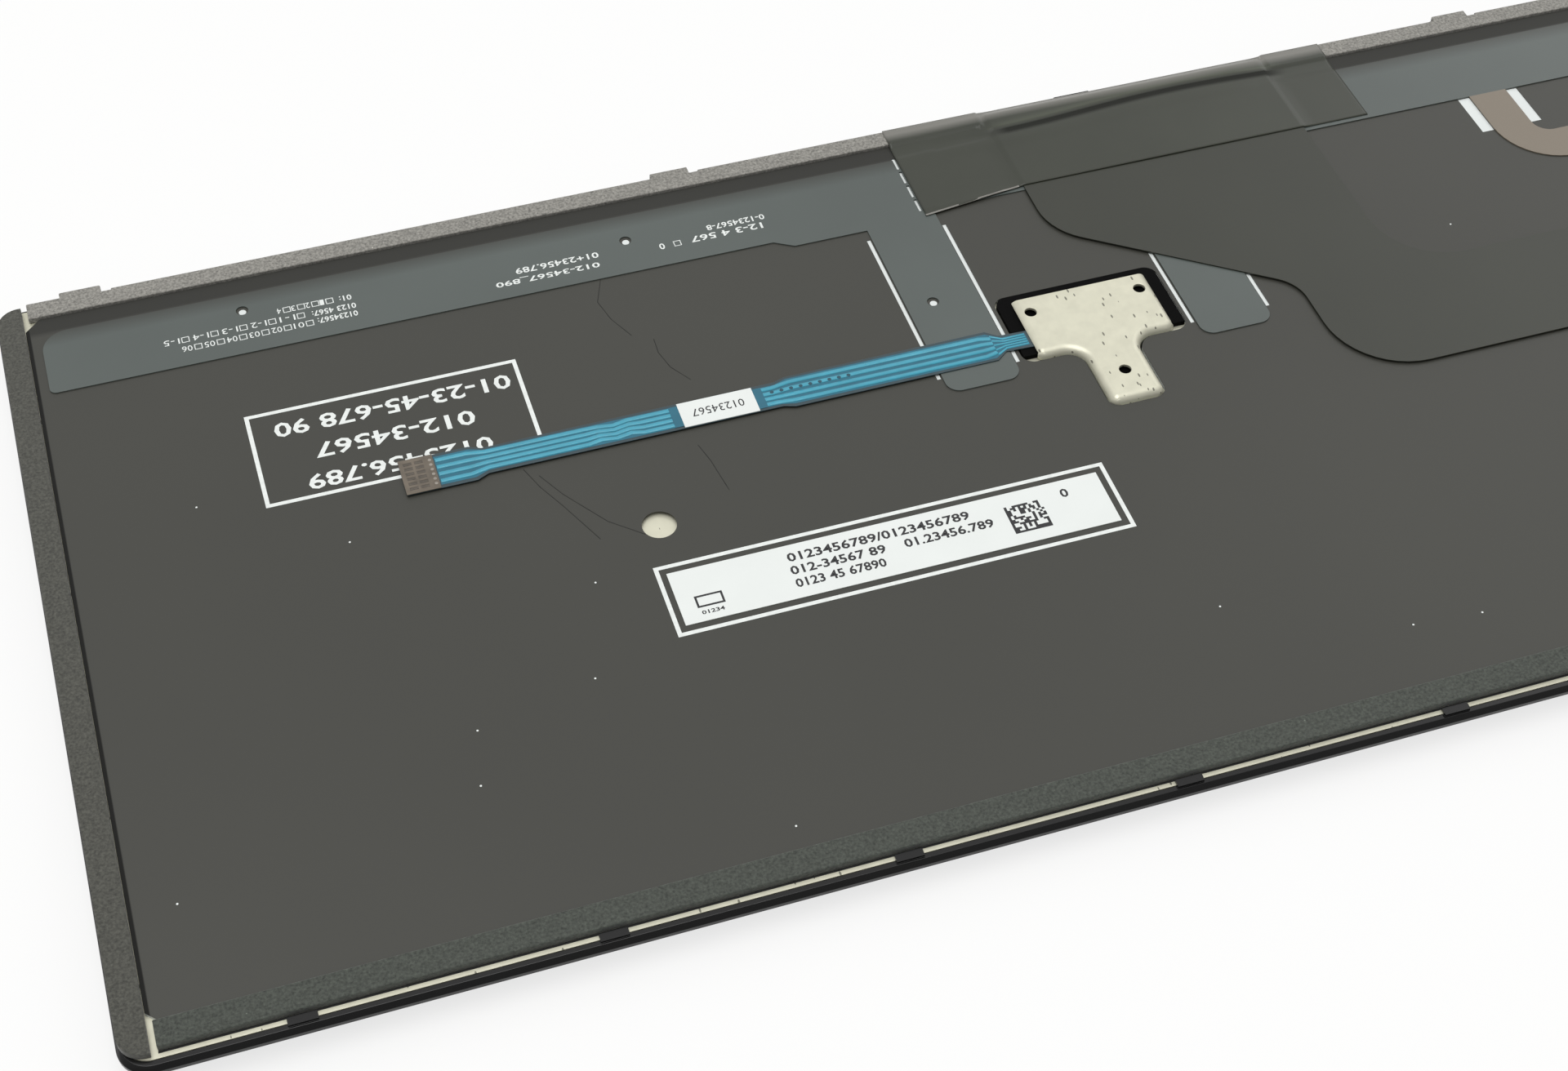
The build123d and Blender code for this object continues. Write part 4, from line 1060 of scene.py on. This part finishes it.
class KEYBOARD_OT_gaskets(bpy.types.Operator):
    """Finish the gaskets round the rim, and lay a black strip beside the rear one as its painted shadow"""

    bl_idname = "keyboard.gaskets"
    bl_label = "Gaskets"

    def execute(self, context):
        cloth = nonwoven("grey non-woven cloth", colours().gasket)
        # The front gaskets get a paler copy of the cloth: painted sheen
        pale_cloth = nonwoven("pale non-woven cloth", colours().front_gasket)
        dark_cloth = nonwoven("dark non-woven cloth", colours().rear_gasket)
        dress("left_gasket", cloth, sizes().gasket_round)
        dress("right_gasket", cloth, sizes().gasket_round)
        dress("front_gaskets", pale_cloth, sizes().gasket_round)
        dress("rear_gasket", dark_cloth, sizes().gasket_round)
        # Painted shadow: a thin black strip along the rear gasket's outer side
        low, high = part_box("rear_gasket")
        top = low.z + ADHESIVE_COATS * sizes().ink
        work = bmesh.new()
        block(work, (low.x, low.y - sizes().adhesive_edge, low.z), (high.x, low.y, top))
        place("gasket_adhesive", finish_mesh("gasket_adhesive", work), acrylic_adhesive(), "gasket")
        return {"FINISHED"}


class KEYBOARD_OT_cover_tape(bpy.types.Operator):
    """Drape the cover tape over the folded tail"""

    bl_idname = "keyboard.cover_tape"
    bl_label = "Cover tape"

    def execute(self, context):
        x, y, share = self.lay_grid()
        draped = self.bridge(self.levels_under(x, y)) + self.wrinkle(x, y, share)
        mesh, rear_edge = self.close_sheet(x, y, draped)
        mesh.shade_smooth()
        place("cover_tape", mesh, cover_tape_film(), "tape", replaces=("tail_cover_tape",))
        # Painted highlight: a pale band along the lifted rear edge of the loose left flap
        shift = Vector((0.0, sizes().tape_rim / 2, 0.0))
        rim = [point + shift for point, along in zip(rear_edge, x[:, 0]) if along < TAIL_LEFT - RIM_GAP]
        lay(
            "tape_rim", "tape", trace_tree(), lines_mesh([rim]),
            Width=sizes().tape_rim, Height=sizes().ink, Material=stretched_acetate(),
        )
        return {"FINISHED"}

    def lay_grid(self):
        """Places of the tape's points in plan, in millimetres, and each row's share of the way forward."""
        step = sizes().tape_grid
        columns = round((TAPE_HIGH.x - TAPE_LOW.x) / step) + 1
        rows = round((TAPE_HIGH.y - TAPE_LOW.y) / step) + 1
        along = np.linspace(TAPE_LOW.x, TAPE_HIGH.x, columns) / MM
        share = np.linspace(0, 1, rows)
        rear_left, front = TAPE_LOW.y / MM, TAPE_HIGH.y / MM
        rear = np.interp(along, (along[0], TAIL_LEFT), (rear_left, rear_left + TAPE_SLANT))
        x = np.repeat(along[:, None], rows, axis=1)
        y = rear[:, None] + share * (front - rear)[:, None]
        return x, y, share

    def levels_under(self, x, y):
        """Level of the highest sheet under each point, in millimetres."""
        under = np.full(x.shape, FILM_TOP)
        under[(y > STRIP_REAR - SHEET_REACH) & (y < STRIP_FRONT + SHEET_REACH)] = STRIP_TOP
        beside = (x < TAIL_LEFT - TAIL_GAP) | (x > TAIL_RIGHT + TAIL_GAP)
        under[(y > GASKET_REAR - SHEET_REACH) & beside] = TAIL_TOP
        on_tail = (x > TAIL_LEFT - SHEET_REACH) & (x < TAIL_RIGHT + SHEET_REACH)
        round_fold = np.sqrt(1 - (np.clip(y - FOLD_START, 0, None) / FOLD_RADIUS) ** 2)
        under[on_tail] = (FOLD_MIDDLE + (TAIL_TOP - FOLD_MIDDLE) * round_fold)[on_tail]
        return under

    def bridge(self, under):
        """Level of the tape where it bridges the steps beneath it."""
        draped = under.copy()
        reach = max(1, round(sizes().tape_drape / sizes().tape_grid))
        for axis in (0, 1, 0, 1):
            padding = [(reach, reach) if axis == side else (0, 0) for side in (0, 1)]
            padded = np.pad(draped, padding, mode="edge")
            size = draped.shape[axis]
            starts = range(2 * reach + 1)
            shifted = [np.take(padded, range(start, start + size), axis=axis) for start in starts]
            draped = np.mean(shifted, axis=0)
        return np.maximum(draped, under + TAPE_GAP)

    def wrinkle(self, x, y, share):
        """Rise of the tape at its ridge, where it is slack and at its loose left flap, in millimetres."""
        crest = CREST + CREST_WAVE * np.sin(x / CREST_LENGTH) + CREST_SLOPE * (x - TAIL_LEFT)
        front_reach, front_fade = RIDGE_FRONT
        ridge = 1 / (1 + np.exp(-(y - crest) / RIDGE_RISE))
        ridge = ridge * fade(FOLD_START + front_reach - y, front_fade)
        swell = SWELL_SHARE * np.exp(-(((y - crest + SWELL_BACK) / SWELL_WIDTH) ** 2))
        left_reach, left_fade = RIDGE_LEFT
        right_reach, right_fade = RIDGE_RIGHT
        ends = fade(x - TAIL_LEFT + left_reach, left_fade) * fade(TAIL_RIGHT + right_reach - x, right_fade)
        rise = (ridge + swell) * ends * sizes().tape_ridge / MM
        slack = np.sin(x / SLACK_ALONG + SLACK_SHIFT) * np.sin(y / SLACK_ACROSS)
        slack = slack * fade(x - TAIL_LEFT, SLACK_FADE)
        rise += SLACK_HEIGHT * (slack + 1) * fade(TAIL_RIGHT - x, SLACK_FADE)
        loose = fade(TAIL_LEFT - x, FLAP_FADE) * np.exp(-share * FLAP_CURL)
        return rise + loose * sizes().tape_lift / MM

    def close_sheet(self, x, y, level):
        """Closed sheet of the tape's thickness over these points, and the points of its upper rear edge."""
        columns, rows = x.shape
        work = bmesh.new()
        layers = []
        for thickness in (0.0, (TAPE_HIGH.z - TAPE_LOW.z) / MM):
            points = (np.stack((x, y, level + thickness), axis=-1) * MM).tolist()
            layers.append([[work.verts.new(point) for point in column] for column in points])
        lower, upper = layers
        for i in range(columns - 1):
            for j in range(rows - 1):
                work.faces.new((upper[i][j], upper[i + 1][j], upper[i + 1][j + 1], upper[i][j + 1]))
                work.faces.new((lower[i][j], lower[i][j + 1], lower[i + 1][j + 1], lower[i + 1][j]))
        edge = [(i, 0) for i in range(columns)] + [(columns - 1, j) for j in range(1, rows)]
        edge += [(i, rows - 1) for i in range(columns - 2, -1, -1)] + [(0, j) for j in range(rows - 2, 0, -1)]
        for (a, b), (c, d) in zip(edge, edge[1:] + edge[:1]):
            work.faces.new((lower[a][b], lower[c][d], upper[c][d], upper[a][b]))
        rear_edge = [column[0].co.copy() for column in upper]
        return finish_mesh("cover_tape", work), rear_edge


class KEYBOARD_OT_stick(bpy.types.Operator):
    """Finish the pointing stick, its board and its pressed bracket"""

    bl_idname = "keyboard.stick"
    bl_label = "Pointing stick"

    def execute(self, context):
        self.press_bracket()
        mask = solder_mask()
        dress("stick_sensor", mask)
        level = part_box("stick_sensor")[1].z - PAD_HEIGHT * MM
        pads = points_mesh([(*from_stick(x, y), level) for x, y in BRACKET_HOLES])
        lay(
            "screw_pads", "board", dot_tree(), pads,
            Radius=PAD_RADIUS * MM, Height=PAD_HEIGHT * MM, Material=mask,
        )
        dress("stick_cap", stick_rubber(), sizes().cap_round)
        return {"FINISHED"}

    def press_bracket(self):
        """Bracket with its bends drawn round and its cut edges broken."""
        work = bmesh.new()
        work.from_mesh(NODES["stick_bracket"].data)
        bmesh.ops.remove_doubles(work, verts=work.verts, dist=MERGE)
        bmesh.ops.dissolve_limit(work, angle_limit=FLAT_ANGLE, verts=work.verts, edges=work.edges)
        for low, high, width, segments in (
            (ROUNDED_ANGLE, BEND_LIMIT, sizes().bracket_bend, BEND_STEPS),
            (BEND_LIMIT, math.pi, sizes().bracket_edge, EDGE_STEPS),
        ):
            edges = [edge for edge in work.edges if edge.is_convex and low < edge.calc_face_angle() < high]
            bmesh.ops.bevel(
                work, geom=edges, offset=width, offset_type="OFFSET", segments=segments, profile=0.5,
                affect="EDGES", clamp_overlap=False,
            )
        mesh = finish_mesh("pressed_bracket", work)
        mesh.set_sharp_from_angle(angle=SHARP_ANGLE)
        for face in mesh.polygons:
            face.use_smooth = abs(face.normal.z) < UPRIGHT
        place("pressed_bracket", mesh, bare_sheet_metal(), "plate", replaces=("stick_bracket",))


class KEYBOARD_OT_ribbon(bpy.types.Operator):
    """Finish the blue ribbon and the stiffeners, and lay the blue field, traces, dots and contacts"""

    bl_idname = "keyboard.ribbon"
    bl_label = "Blue ribbon"

    def execute(self, context):
        clear = blue_polyimide("clear coverlay", colours().ribbon_edge)
        dress("stick_ribbon", clear, sizes().sheet_round)
        board = stiffener_board()
        for node in STIFFENER_CONTACTS:
            dress(node, board)
        level = RIBBON_TOP + sizes().ink
        self.lay_field(level)
        self.lay_traces(level)
        self.lay_dots(level)
        self.show_contacts()
        return {"FINISHED"}

    def lay_field(self, level):
        """Blue field over the whole ribbon, and the plain bands beside its label."""
        front, rear = (
            [from_stick(x, y + side * half) for start, end, y, half in RIBBON_LEGS for x in (start, end)]
            for side in (1, -1)
        )
        work = bmesh.new()
        prism(work, front + rear[::-1], RIBBON_TOP, level)
        middle, half = RIBBON_LEGS[LABELLED_LEG][2:]
        band = LABEL_BAND * MM
        low_y, high_y = STICK.y + (middle - half) * MM, STICK.y + (middle + half) * MM
        for left in (TAG_LOW.x - band, TAG_HIGH.x):
            block(work, (left, low_y, RIBBON_TOP), (left + band, high_y, level + sizes().trace_height))
        blue = blue_polyimide("blue coverlay", colours().ribbon)
        place("ribbon_field", finish_mesh("ribbon_field", work), blue, "blue_flex")

    def lay_traces(self, level):
        """Four broad traces, and five fine ones at the narrow end."""
        copper = blue_polyimide("blue coverlay over copper", colours().trace)
        z = level + sizes().trace_height / 4
        for name, route, lanes, width in (
            ("ribbon_traces", BROAD_ROUTE, BROAD_LANES, sizes().trace_width),
            ("ribbon_fine_traces", FINE_ROUTE, FINE_LANES, sizes().fine_trace_width),
        ):
            lines = [[(*from_stick(x, y + lane * pitch), z) for x, y, pitch in route] for lane in lanes]
            lay(
                name, "blue_flex", trace_tree(), lines_mesh(lines),
                Width=width, Height=sizes().trace_height, Material=copper,
            )

    def lay_dots(self, level):
        """Row of vias beside the label, and solder dots at the contact end."""
        x, y = VIA_START
        z = level + sizes().trace_height / 2
        vias = [(*from_stick(x + step * VIA_PITCH, y), z) for step in range(VIA_COUNT)]
        dark = blue_polyimide("dark blue coverlay", shaded(colours().ribbon, VIA_SHADE))
        lay(
            "ribbon_vias", "blue_flex", dot_tree(), points_mesh(vias),
            Radius=VIA_RADIUS * MM, Height=sizes().trace_height * VIA_RELIEF, Material=dark,
        )
        x, y = SOLDER_START
        z = RIBBON_TOP + SOLDER_LIFT * MM
        solder = [(*from_stick(x, y + step * SOLDER_PITCH), z) for step in range(SOLDER_COUNT)]
        lay(
            "ribbon_solder", "stiffener", dot_tree(), points_mesh(solder),
            Radius=SOLDER_RADIUS * MM, Height=SOLDER_HEIGHT * MM, Material=tinned_copper(),
        )

    def show_contacts(self):
        """Faint bars where the contacts' copper shows through the stiffeners of the ribbon and both tails."""
        material = stiffener_board("shaded polyimide", CONTACT_SHADE)
        for node, count in STIFFENER_CONTACTS.items():
            low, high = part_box(node)
            pitch = (high.y - low.y) / (count + 1)
            reach = high.x - low.x
            lines = [
                [(low.x + share * reach, low.y + (step + 1) * pitch, high.z) for share in row]
                for step in range(count) for row in CONTACT_ROWS
            ]
            lay(
                f"{node}_contacts", "stiffener", trace_tree(), lines_mesh(lines),
                Width=CONTACT_FILL * pitch, Height=sizes().ink, Material=material,
            )


class KEYBOARD_OT_print(bpy.types.Operator):
    """Print the white frames and plain numerals on the film and the lamp strip"""

    bl_idname = "keyboard.print"
    bl_label = "White print"

    def execute(self, context):
        ink = printing_ink("white screen ink", colours().ink_white)
        self.print_film(ink)
        self.print_strip(ink)
        return {"FINISHED"}

    def print_film(self, ink):
        """Two frames, one around the sticker and one around three lines of numerals."""
        work = bmesh.new()
        for edges in FILM_FRAMES:
            printed_frame(work, edges, sizes().frame_line, FILM_HIGH.z)
        print_lines(work, FILM_LINES, FILM_HIGH.z, FILM_BOLD)
        place("film_print", finish_mesh("film_print", work), ink, "paper")

    def print_strip(self, ink):
        """Rows of tick boxes with numerals, and short lines of numerals."""
        low = STRIP_TOP * MM
        work = bmesh.new()
        boxes = []
        for texts, right, pitch, width, y in BOX_ROWS:
            for step, text in enumerate(texts.split()):
                x = right - step * pitch
                boxes.append((x - BOX_SHIFT, y))
                middle = on_film(x - BOX_TEXT_SHIFT - width / 2, y)
                numerals(work, text, BOX_TEXT_HEIGHT, width, middle, low)
        print_lines(work, STRIP_LINES, low, STRIP_BOLD)
        place("strip_print", finish_mesh("strip_print", work), ink, "paper")
        marks = [(*on_film(x, y), low + sizes().ink / 2) for x, y in (*boxes, LONE_BOX)]
        lay(
            "strip_box_marks", "paper", box_mark_tree(), points_mesh(marks),
            Side=BOX_SIDE * MM, Line=BOX_LINE * MM, Height=sizes().ink, Material=ink,
        )


class KEYBOARD_OT_labels(bpy.types.Operator):
    """Finish the white labels with plain numerals, a box and a check pattern"""

    bl_idname = "keyboard.labels"
    bl_label = "Labels"

    def execute(self, context):
        stock = label_stock()
        dress("id_label", stock)
        dress("ribbon_label", stock)
        ink = printing_ink("dark label ink", colours().ink_dark)
        work = bmesh.new()
        print_lines(work, STICKER_LINES, STICKER_TOP, STICKER_BOLD, turned=False)
        printed_frame(work, STICKER_BOX, STICKER_BOX_LINE * MM, STICKER_TOP)
        self.print_checks(work)
        place("sticker_print", finish_mesh("sticker_print", work), ink, "paper")

        work = bmesh.new()
        middle = (TAG_LOW + TAG_HIGH) / 2
        numerals(work, TAG_TEXT, TAG_TEXT_HEIGHT, TAG_TEXT_WIDTH, (middle.x, middle.y), TAG_HIGH.z)
        place("tag_print", finish_mesh("tag_print", work), ink, "paper")
        return {"FINISHED"}

    def print_checks(self, work):
        """Random check pattern whose left column and rear row are filled."""
        left, front = on_film(*CHECK_CORNER)
        across, along = (side * MM / CHECK_CELLS for side in CHECK_SIZE)
        filled = np.random.default_rng(CHECK_SEED).random((CHECK_CELLS, CHECK_CELLS)) < CHECK_SHARE
        filled[:, 0] = filled[-1, :] = True
        for row, column in np.argwhere(filled).tolist():
            x, y = left + column * across, front - (row + 1) * along
            block(work, (x, y, STICKER_TOP), (x + across, y + along, STICKER_TOP + sizes().ink))


class KEYBOARD_OT_wear(bpy.types.Operator):
    """Lay the hairline scuffs and the dust on the film, and the pale floors of the lamp strip's holes"""

    bl_idname = "keyboard.wear"
    bl_label = "Handling marks"

    def execute(self, context):
        level = FILM_HIGH.z + sizes().ink / 4
        lines = [[(*on_film(x, y), level) for x, y in scuff] for scuff in SCUFFS]
        lay(
            "film_scuffs", "dark_film", trace_tree(), lines_mesh(lines),
            Width=sizes().scuff_width, Height=sizes().ink, Material=scuff_mark(),
        )
        dust = points_mesh([(*on_film(x, y), level) for x, y in DUST])
        lay(
            "film_dust", "dark_film", dot_tree(), dust,
            Radius=DUST_RADIUS * MM, Height=sizes().ink * 2, Material=label_stock(),
        )
        holes = points_mesh([(*from_stick(x, y + FLOOR_SHIFT), level) for x, y in STRIP_HOLES])
        lay(
            "strip_hole_floors", "white_film", dot_tree(), holes,
            Radius=FLOOR_RADIUS * MM, Height=sizes().ink, Material=white_polyester(),
        )
        return {"FINISHED"}


class KEYBOARD_OT_stage(bpy.types.Operator):
    """Set the floor, the light and the camera"""

    bl_idname = "keyboard.stage"
    bl_label = "Stage"

    def execute(self, context):
        scene = context.scene
        scene.view_settings.view_transform = "Standard"
        self.set_floor(scene)
        self.set_sky(scene)
        self.set_softboxes(scene)
        self.set_camera(scene)
        return {"FINISHED"}

    def set_floor(self, scene):
        """Pale floor, which the camera and reflections see mostly as white."""
        material = bpy.data.materials.new("pale floor")
        material.use_nodes = True
        tree = material.node_tree
        tree.nodes.clear()
        paint = add(tree, "ShaderNodeBsdfDiffuse", {"Color": rgba(colours().floor)})
        glow = add(tree, "ShaderNodeEmission", {"Strength": 1.0})
        path = add(tree, "ShaderNodeLightPath").outputs
        direct = {0: path["Is Camera Ray"], 1: path["Is Glossy Ray"]}
        seen = add(tree, "ShaderNodeMath", direct, operation="MAXIMUM")
        either = {0: seen.outputs["Value"], 1: path["Is Transmission Ray"]}
        through = add(tree, "ShaderNodeMath", either, operation="MAXIMUM")
        share = {0: through.outputs["Value"], 1: FLOOR_GLOW}
        part = add(tree, "ShaderNodeMath", share, operation="MULTIPLY")
        both = {"Fac": part.outputs["Value"], 1: paint.outputs["BSDF"], 2: glow.outputs["Emission"]}
        mixed = add(tree, "ShaderNodeMixShader", both)
        add(tree, "ShaderNodeOutputMaterial", {"Surface": mixed.outputs["Shader"]})
        mesh = bpy.data.meshes.new("floor")
        half = FLOOR_HALF
        corners = [(-half, -half, 0), (half, -half, 0), (half, half, 0), (-half, half, 0)]
        mesh.from_pydata(corners, [], [(0, 1, 2, 3)])
        mesh.materials.append(material)
        floor = bpy.data.objects.new("floor", mesh)
        scene.collection.objects.link(floor)

    def set_sky(self, scene):
        """White sky, which lights the part most from one direction."""
        world = bpy.data.worlds.new("studio")
        scene.world = world
        world.use_nodes = True
        tree = world.node_tree
        tree.nodes.clear()
        direction = add(tree, "ShaderNodeTexCoord").outputs["Generated"]
        facing = add(tree, "ShaderNodeVectorMath", {0: direction, 1: SKY_TOWARDS}, operation="DOT_PRODUCT")
        studio = add(tree, "ShaderNodeMapRange", {
            "Value": facing.outputs["Value"], "From Min": SKY_RANGE[0], "From Max": SKY_RANGE[1],
            "To Min": SKY_STRENGTH[0], "To Max": SKY_STRENGTH[1],
        })
        path = add(tree, "ShaderNodeLightPath")
        seen = {"Value": path.outputs["Is Camera Ray"], "To Min": studio.outputs["Result"], "To Max": 1.0}
        strength = add(tree, "ShaderNodeMapRange", seen).outputs["Result"]
        sky = add(tree, "ShaderNodeBackground", {"Strength": strength, "Color": (1.0, 1.0, 1.0, 1.0)})
        add(tree, "ShaderNodeOutputWorld", {"Surface": sky.outputs["Background"]})

    def set_softboxes(self, scene):
        """Round softboxes that face the part."""
        for name, (place_at, size, power) in SOFTBOXES.items():
            lamp = bpy.data.lights.new(name, "AREA")
            lamp.shape = "DISK"
            lamp.size = size
            lamp.energy = power
            softbox = bpy.data.objects.new(name, lamp)
            softbox.location = place_at
            softbox.rotation_euler = Vector(place_at).to_track_quat("Z", "Y").to_euler()
            scene.collection.objects.link(softbox)

    def set_camera(self, scene):
        """Camera that sees the part as the photograph does."""
        camera = bpy.data.cameras.new("camera")
        camera.sensor_width = CAMERA_SENSOR
        camera.lens = CAMERA_LENS
        camera.clip_start = CAMERA_NEAR
        eye = bpy.data.objects.new("camera", camera)
        right, up = Vector(CAMERA_RIGHT), Vector(CAMERA_UP)
        turn = Matrix((right, up, right.cross(up))).transposed()
        eye.matrix_world = Matrix.Translation(CAMERA_PLACE) @ turn.to_4x4()
        scene.collection.objects.link(eye)
        scene.camera = eye


PIECE_OPERATORS = (
    KEYBOARD_OT_moulding,
    KEYBOARD_OT_keycaps,
    KEYBOARD_OT_switches,
    KEYBOARD_OT_sheets,
    KEYBOARD_OT_lamp_strip,
    KEYBOARD_OT_gaskets,
    KEYBOARD_OT_cover_tape,
    KEYBOARD_OT_stick,
    KEYBOARD_OT_ribbon,
    KEYBOARD_OT_print,
    KEYBOARD_OT_labels,
    KEYBOARD_OT_wear,
    KEYBOARD_OT_stage,
)


class KEYBOARD_PT_pieces(bpy.types.Panel):
    """Lists the keyboard's pieces"""

    bl_idname = "KEYBOARD_PT_pieces"
    bl_label = "Keyboard"
    bl_space_type = "VIEW_3D"
    bl_region_type = "UI"
    bl_category = "Keyboard"

    def draw(self, context):
        for operator in PIECE_OPERATORS:
            self.layout.operator(operator.bl_idname)


CLASSES = (KeyboardSizes, KeyboardColours, *PIECE_OPERATORS, KEYBOARD_PT_pieces)


def register():
    """Register the classes, and give each scene its sizes and colours."""
    for cls in CLASSES:
        bpy.utils.register_class(cls)
    bpy.types.Scene.keyboard_sizes = PointerProperty(type=KeyboardSizes)
    bpy.types.Scene.keyboard_colours = PointerProperty(type=KeyboardColours)


def unregister():
    """Take away what register gave."""
    del bpy.types.Scene.keyboard_colours
    del bpy.types.Scene.keyboard_sizes
    for cls in reversed(CLASSES):
        bpy.utils.unregister_class(cls)


def main():
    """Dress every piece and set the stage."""
    register()
    bpy.ops.keyboard.moulding()
    bpy.ops.keyboard.keycaps()
    bpy.ops.keyboard.switches()
    bpy.ops.keyboard.sheets()
    bpy.ops.keyboard.lamp_strip()
    bpy.ops.keyboard.gaskets()
    bpy.ops.keyboard.cover_tape()
    bpy.ops.keyboard.stick()
    bpy.ops.keyboard.ribbon()
    bpy.ops.keyboard.print()
    bpy.ops.keyboard.labels()
    bpy.ops.keyboard.wear()
    bpy.ops.keyboard.stage()


if __name__ == "__main__":
    main()
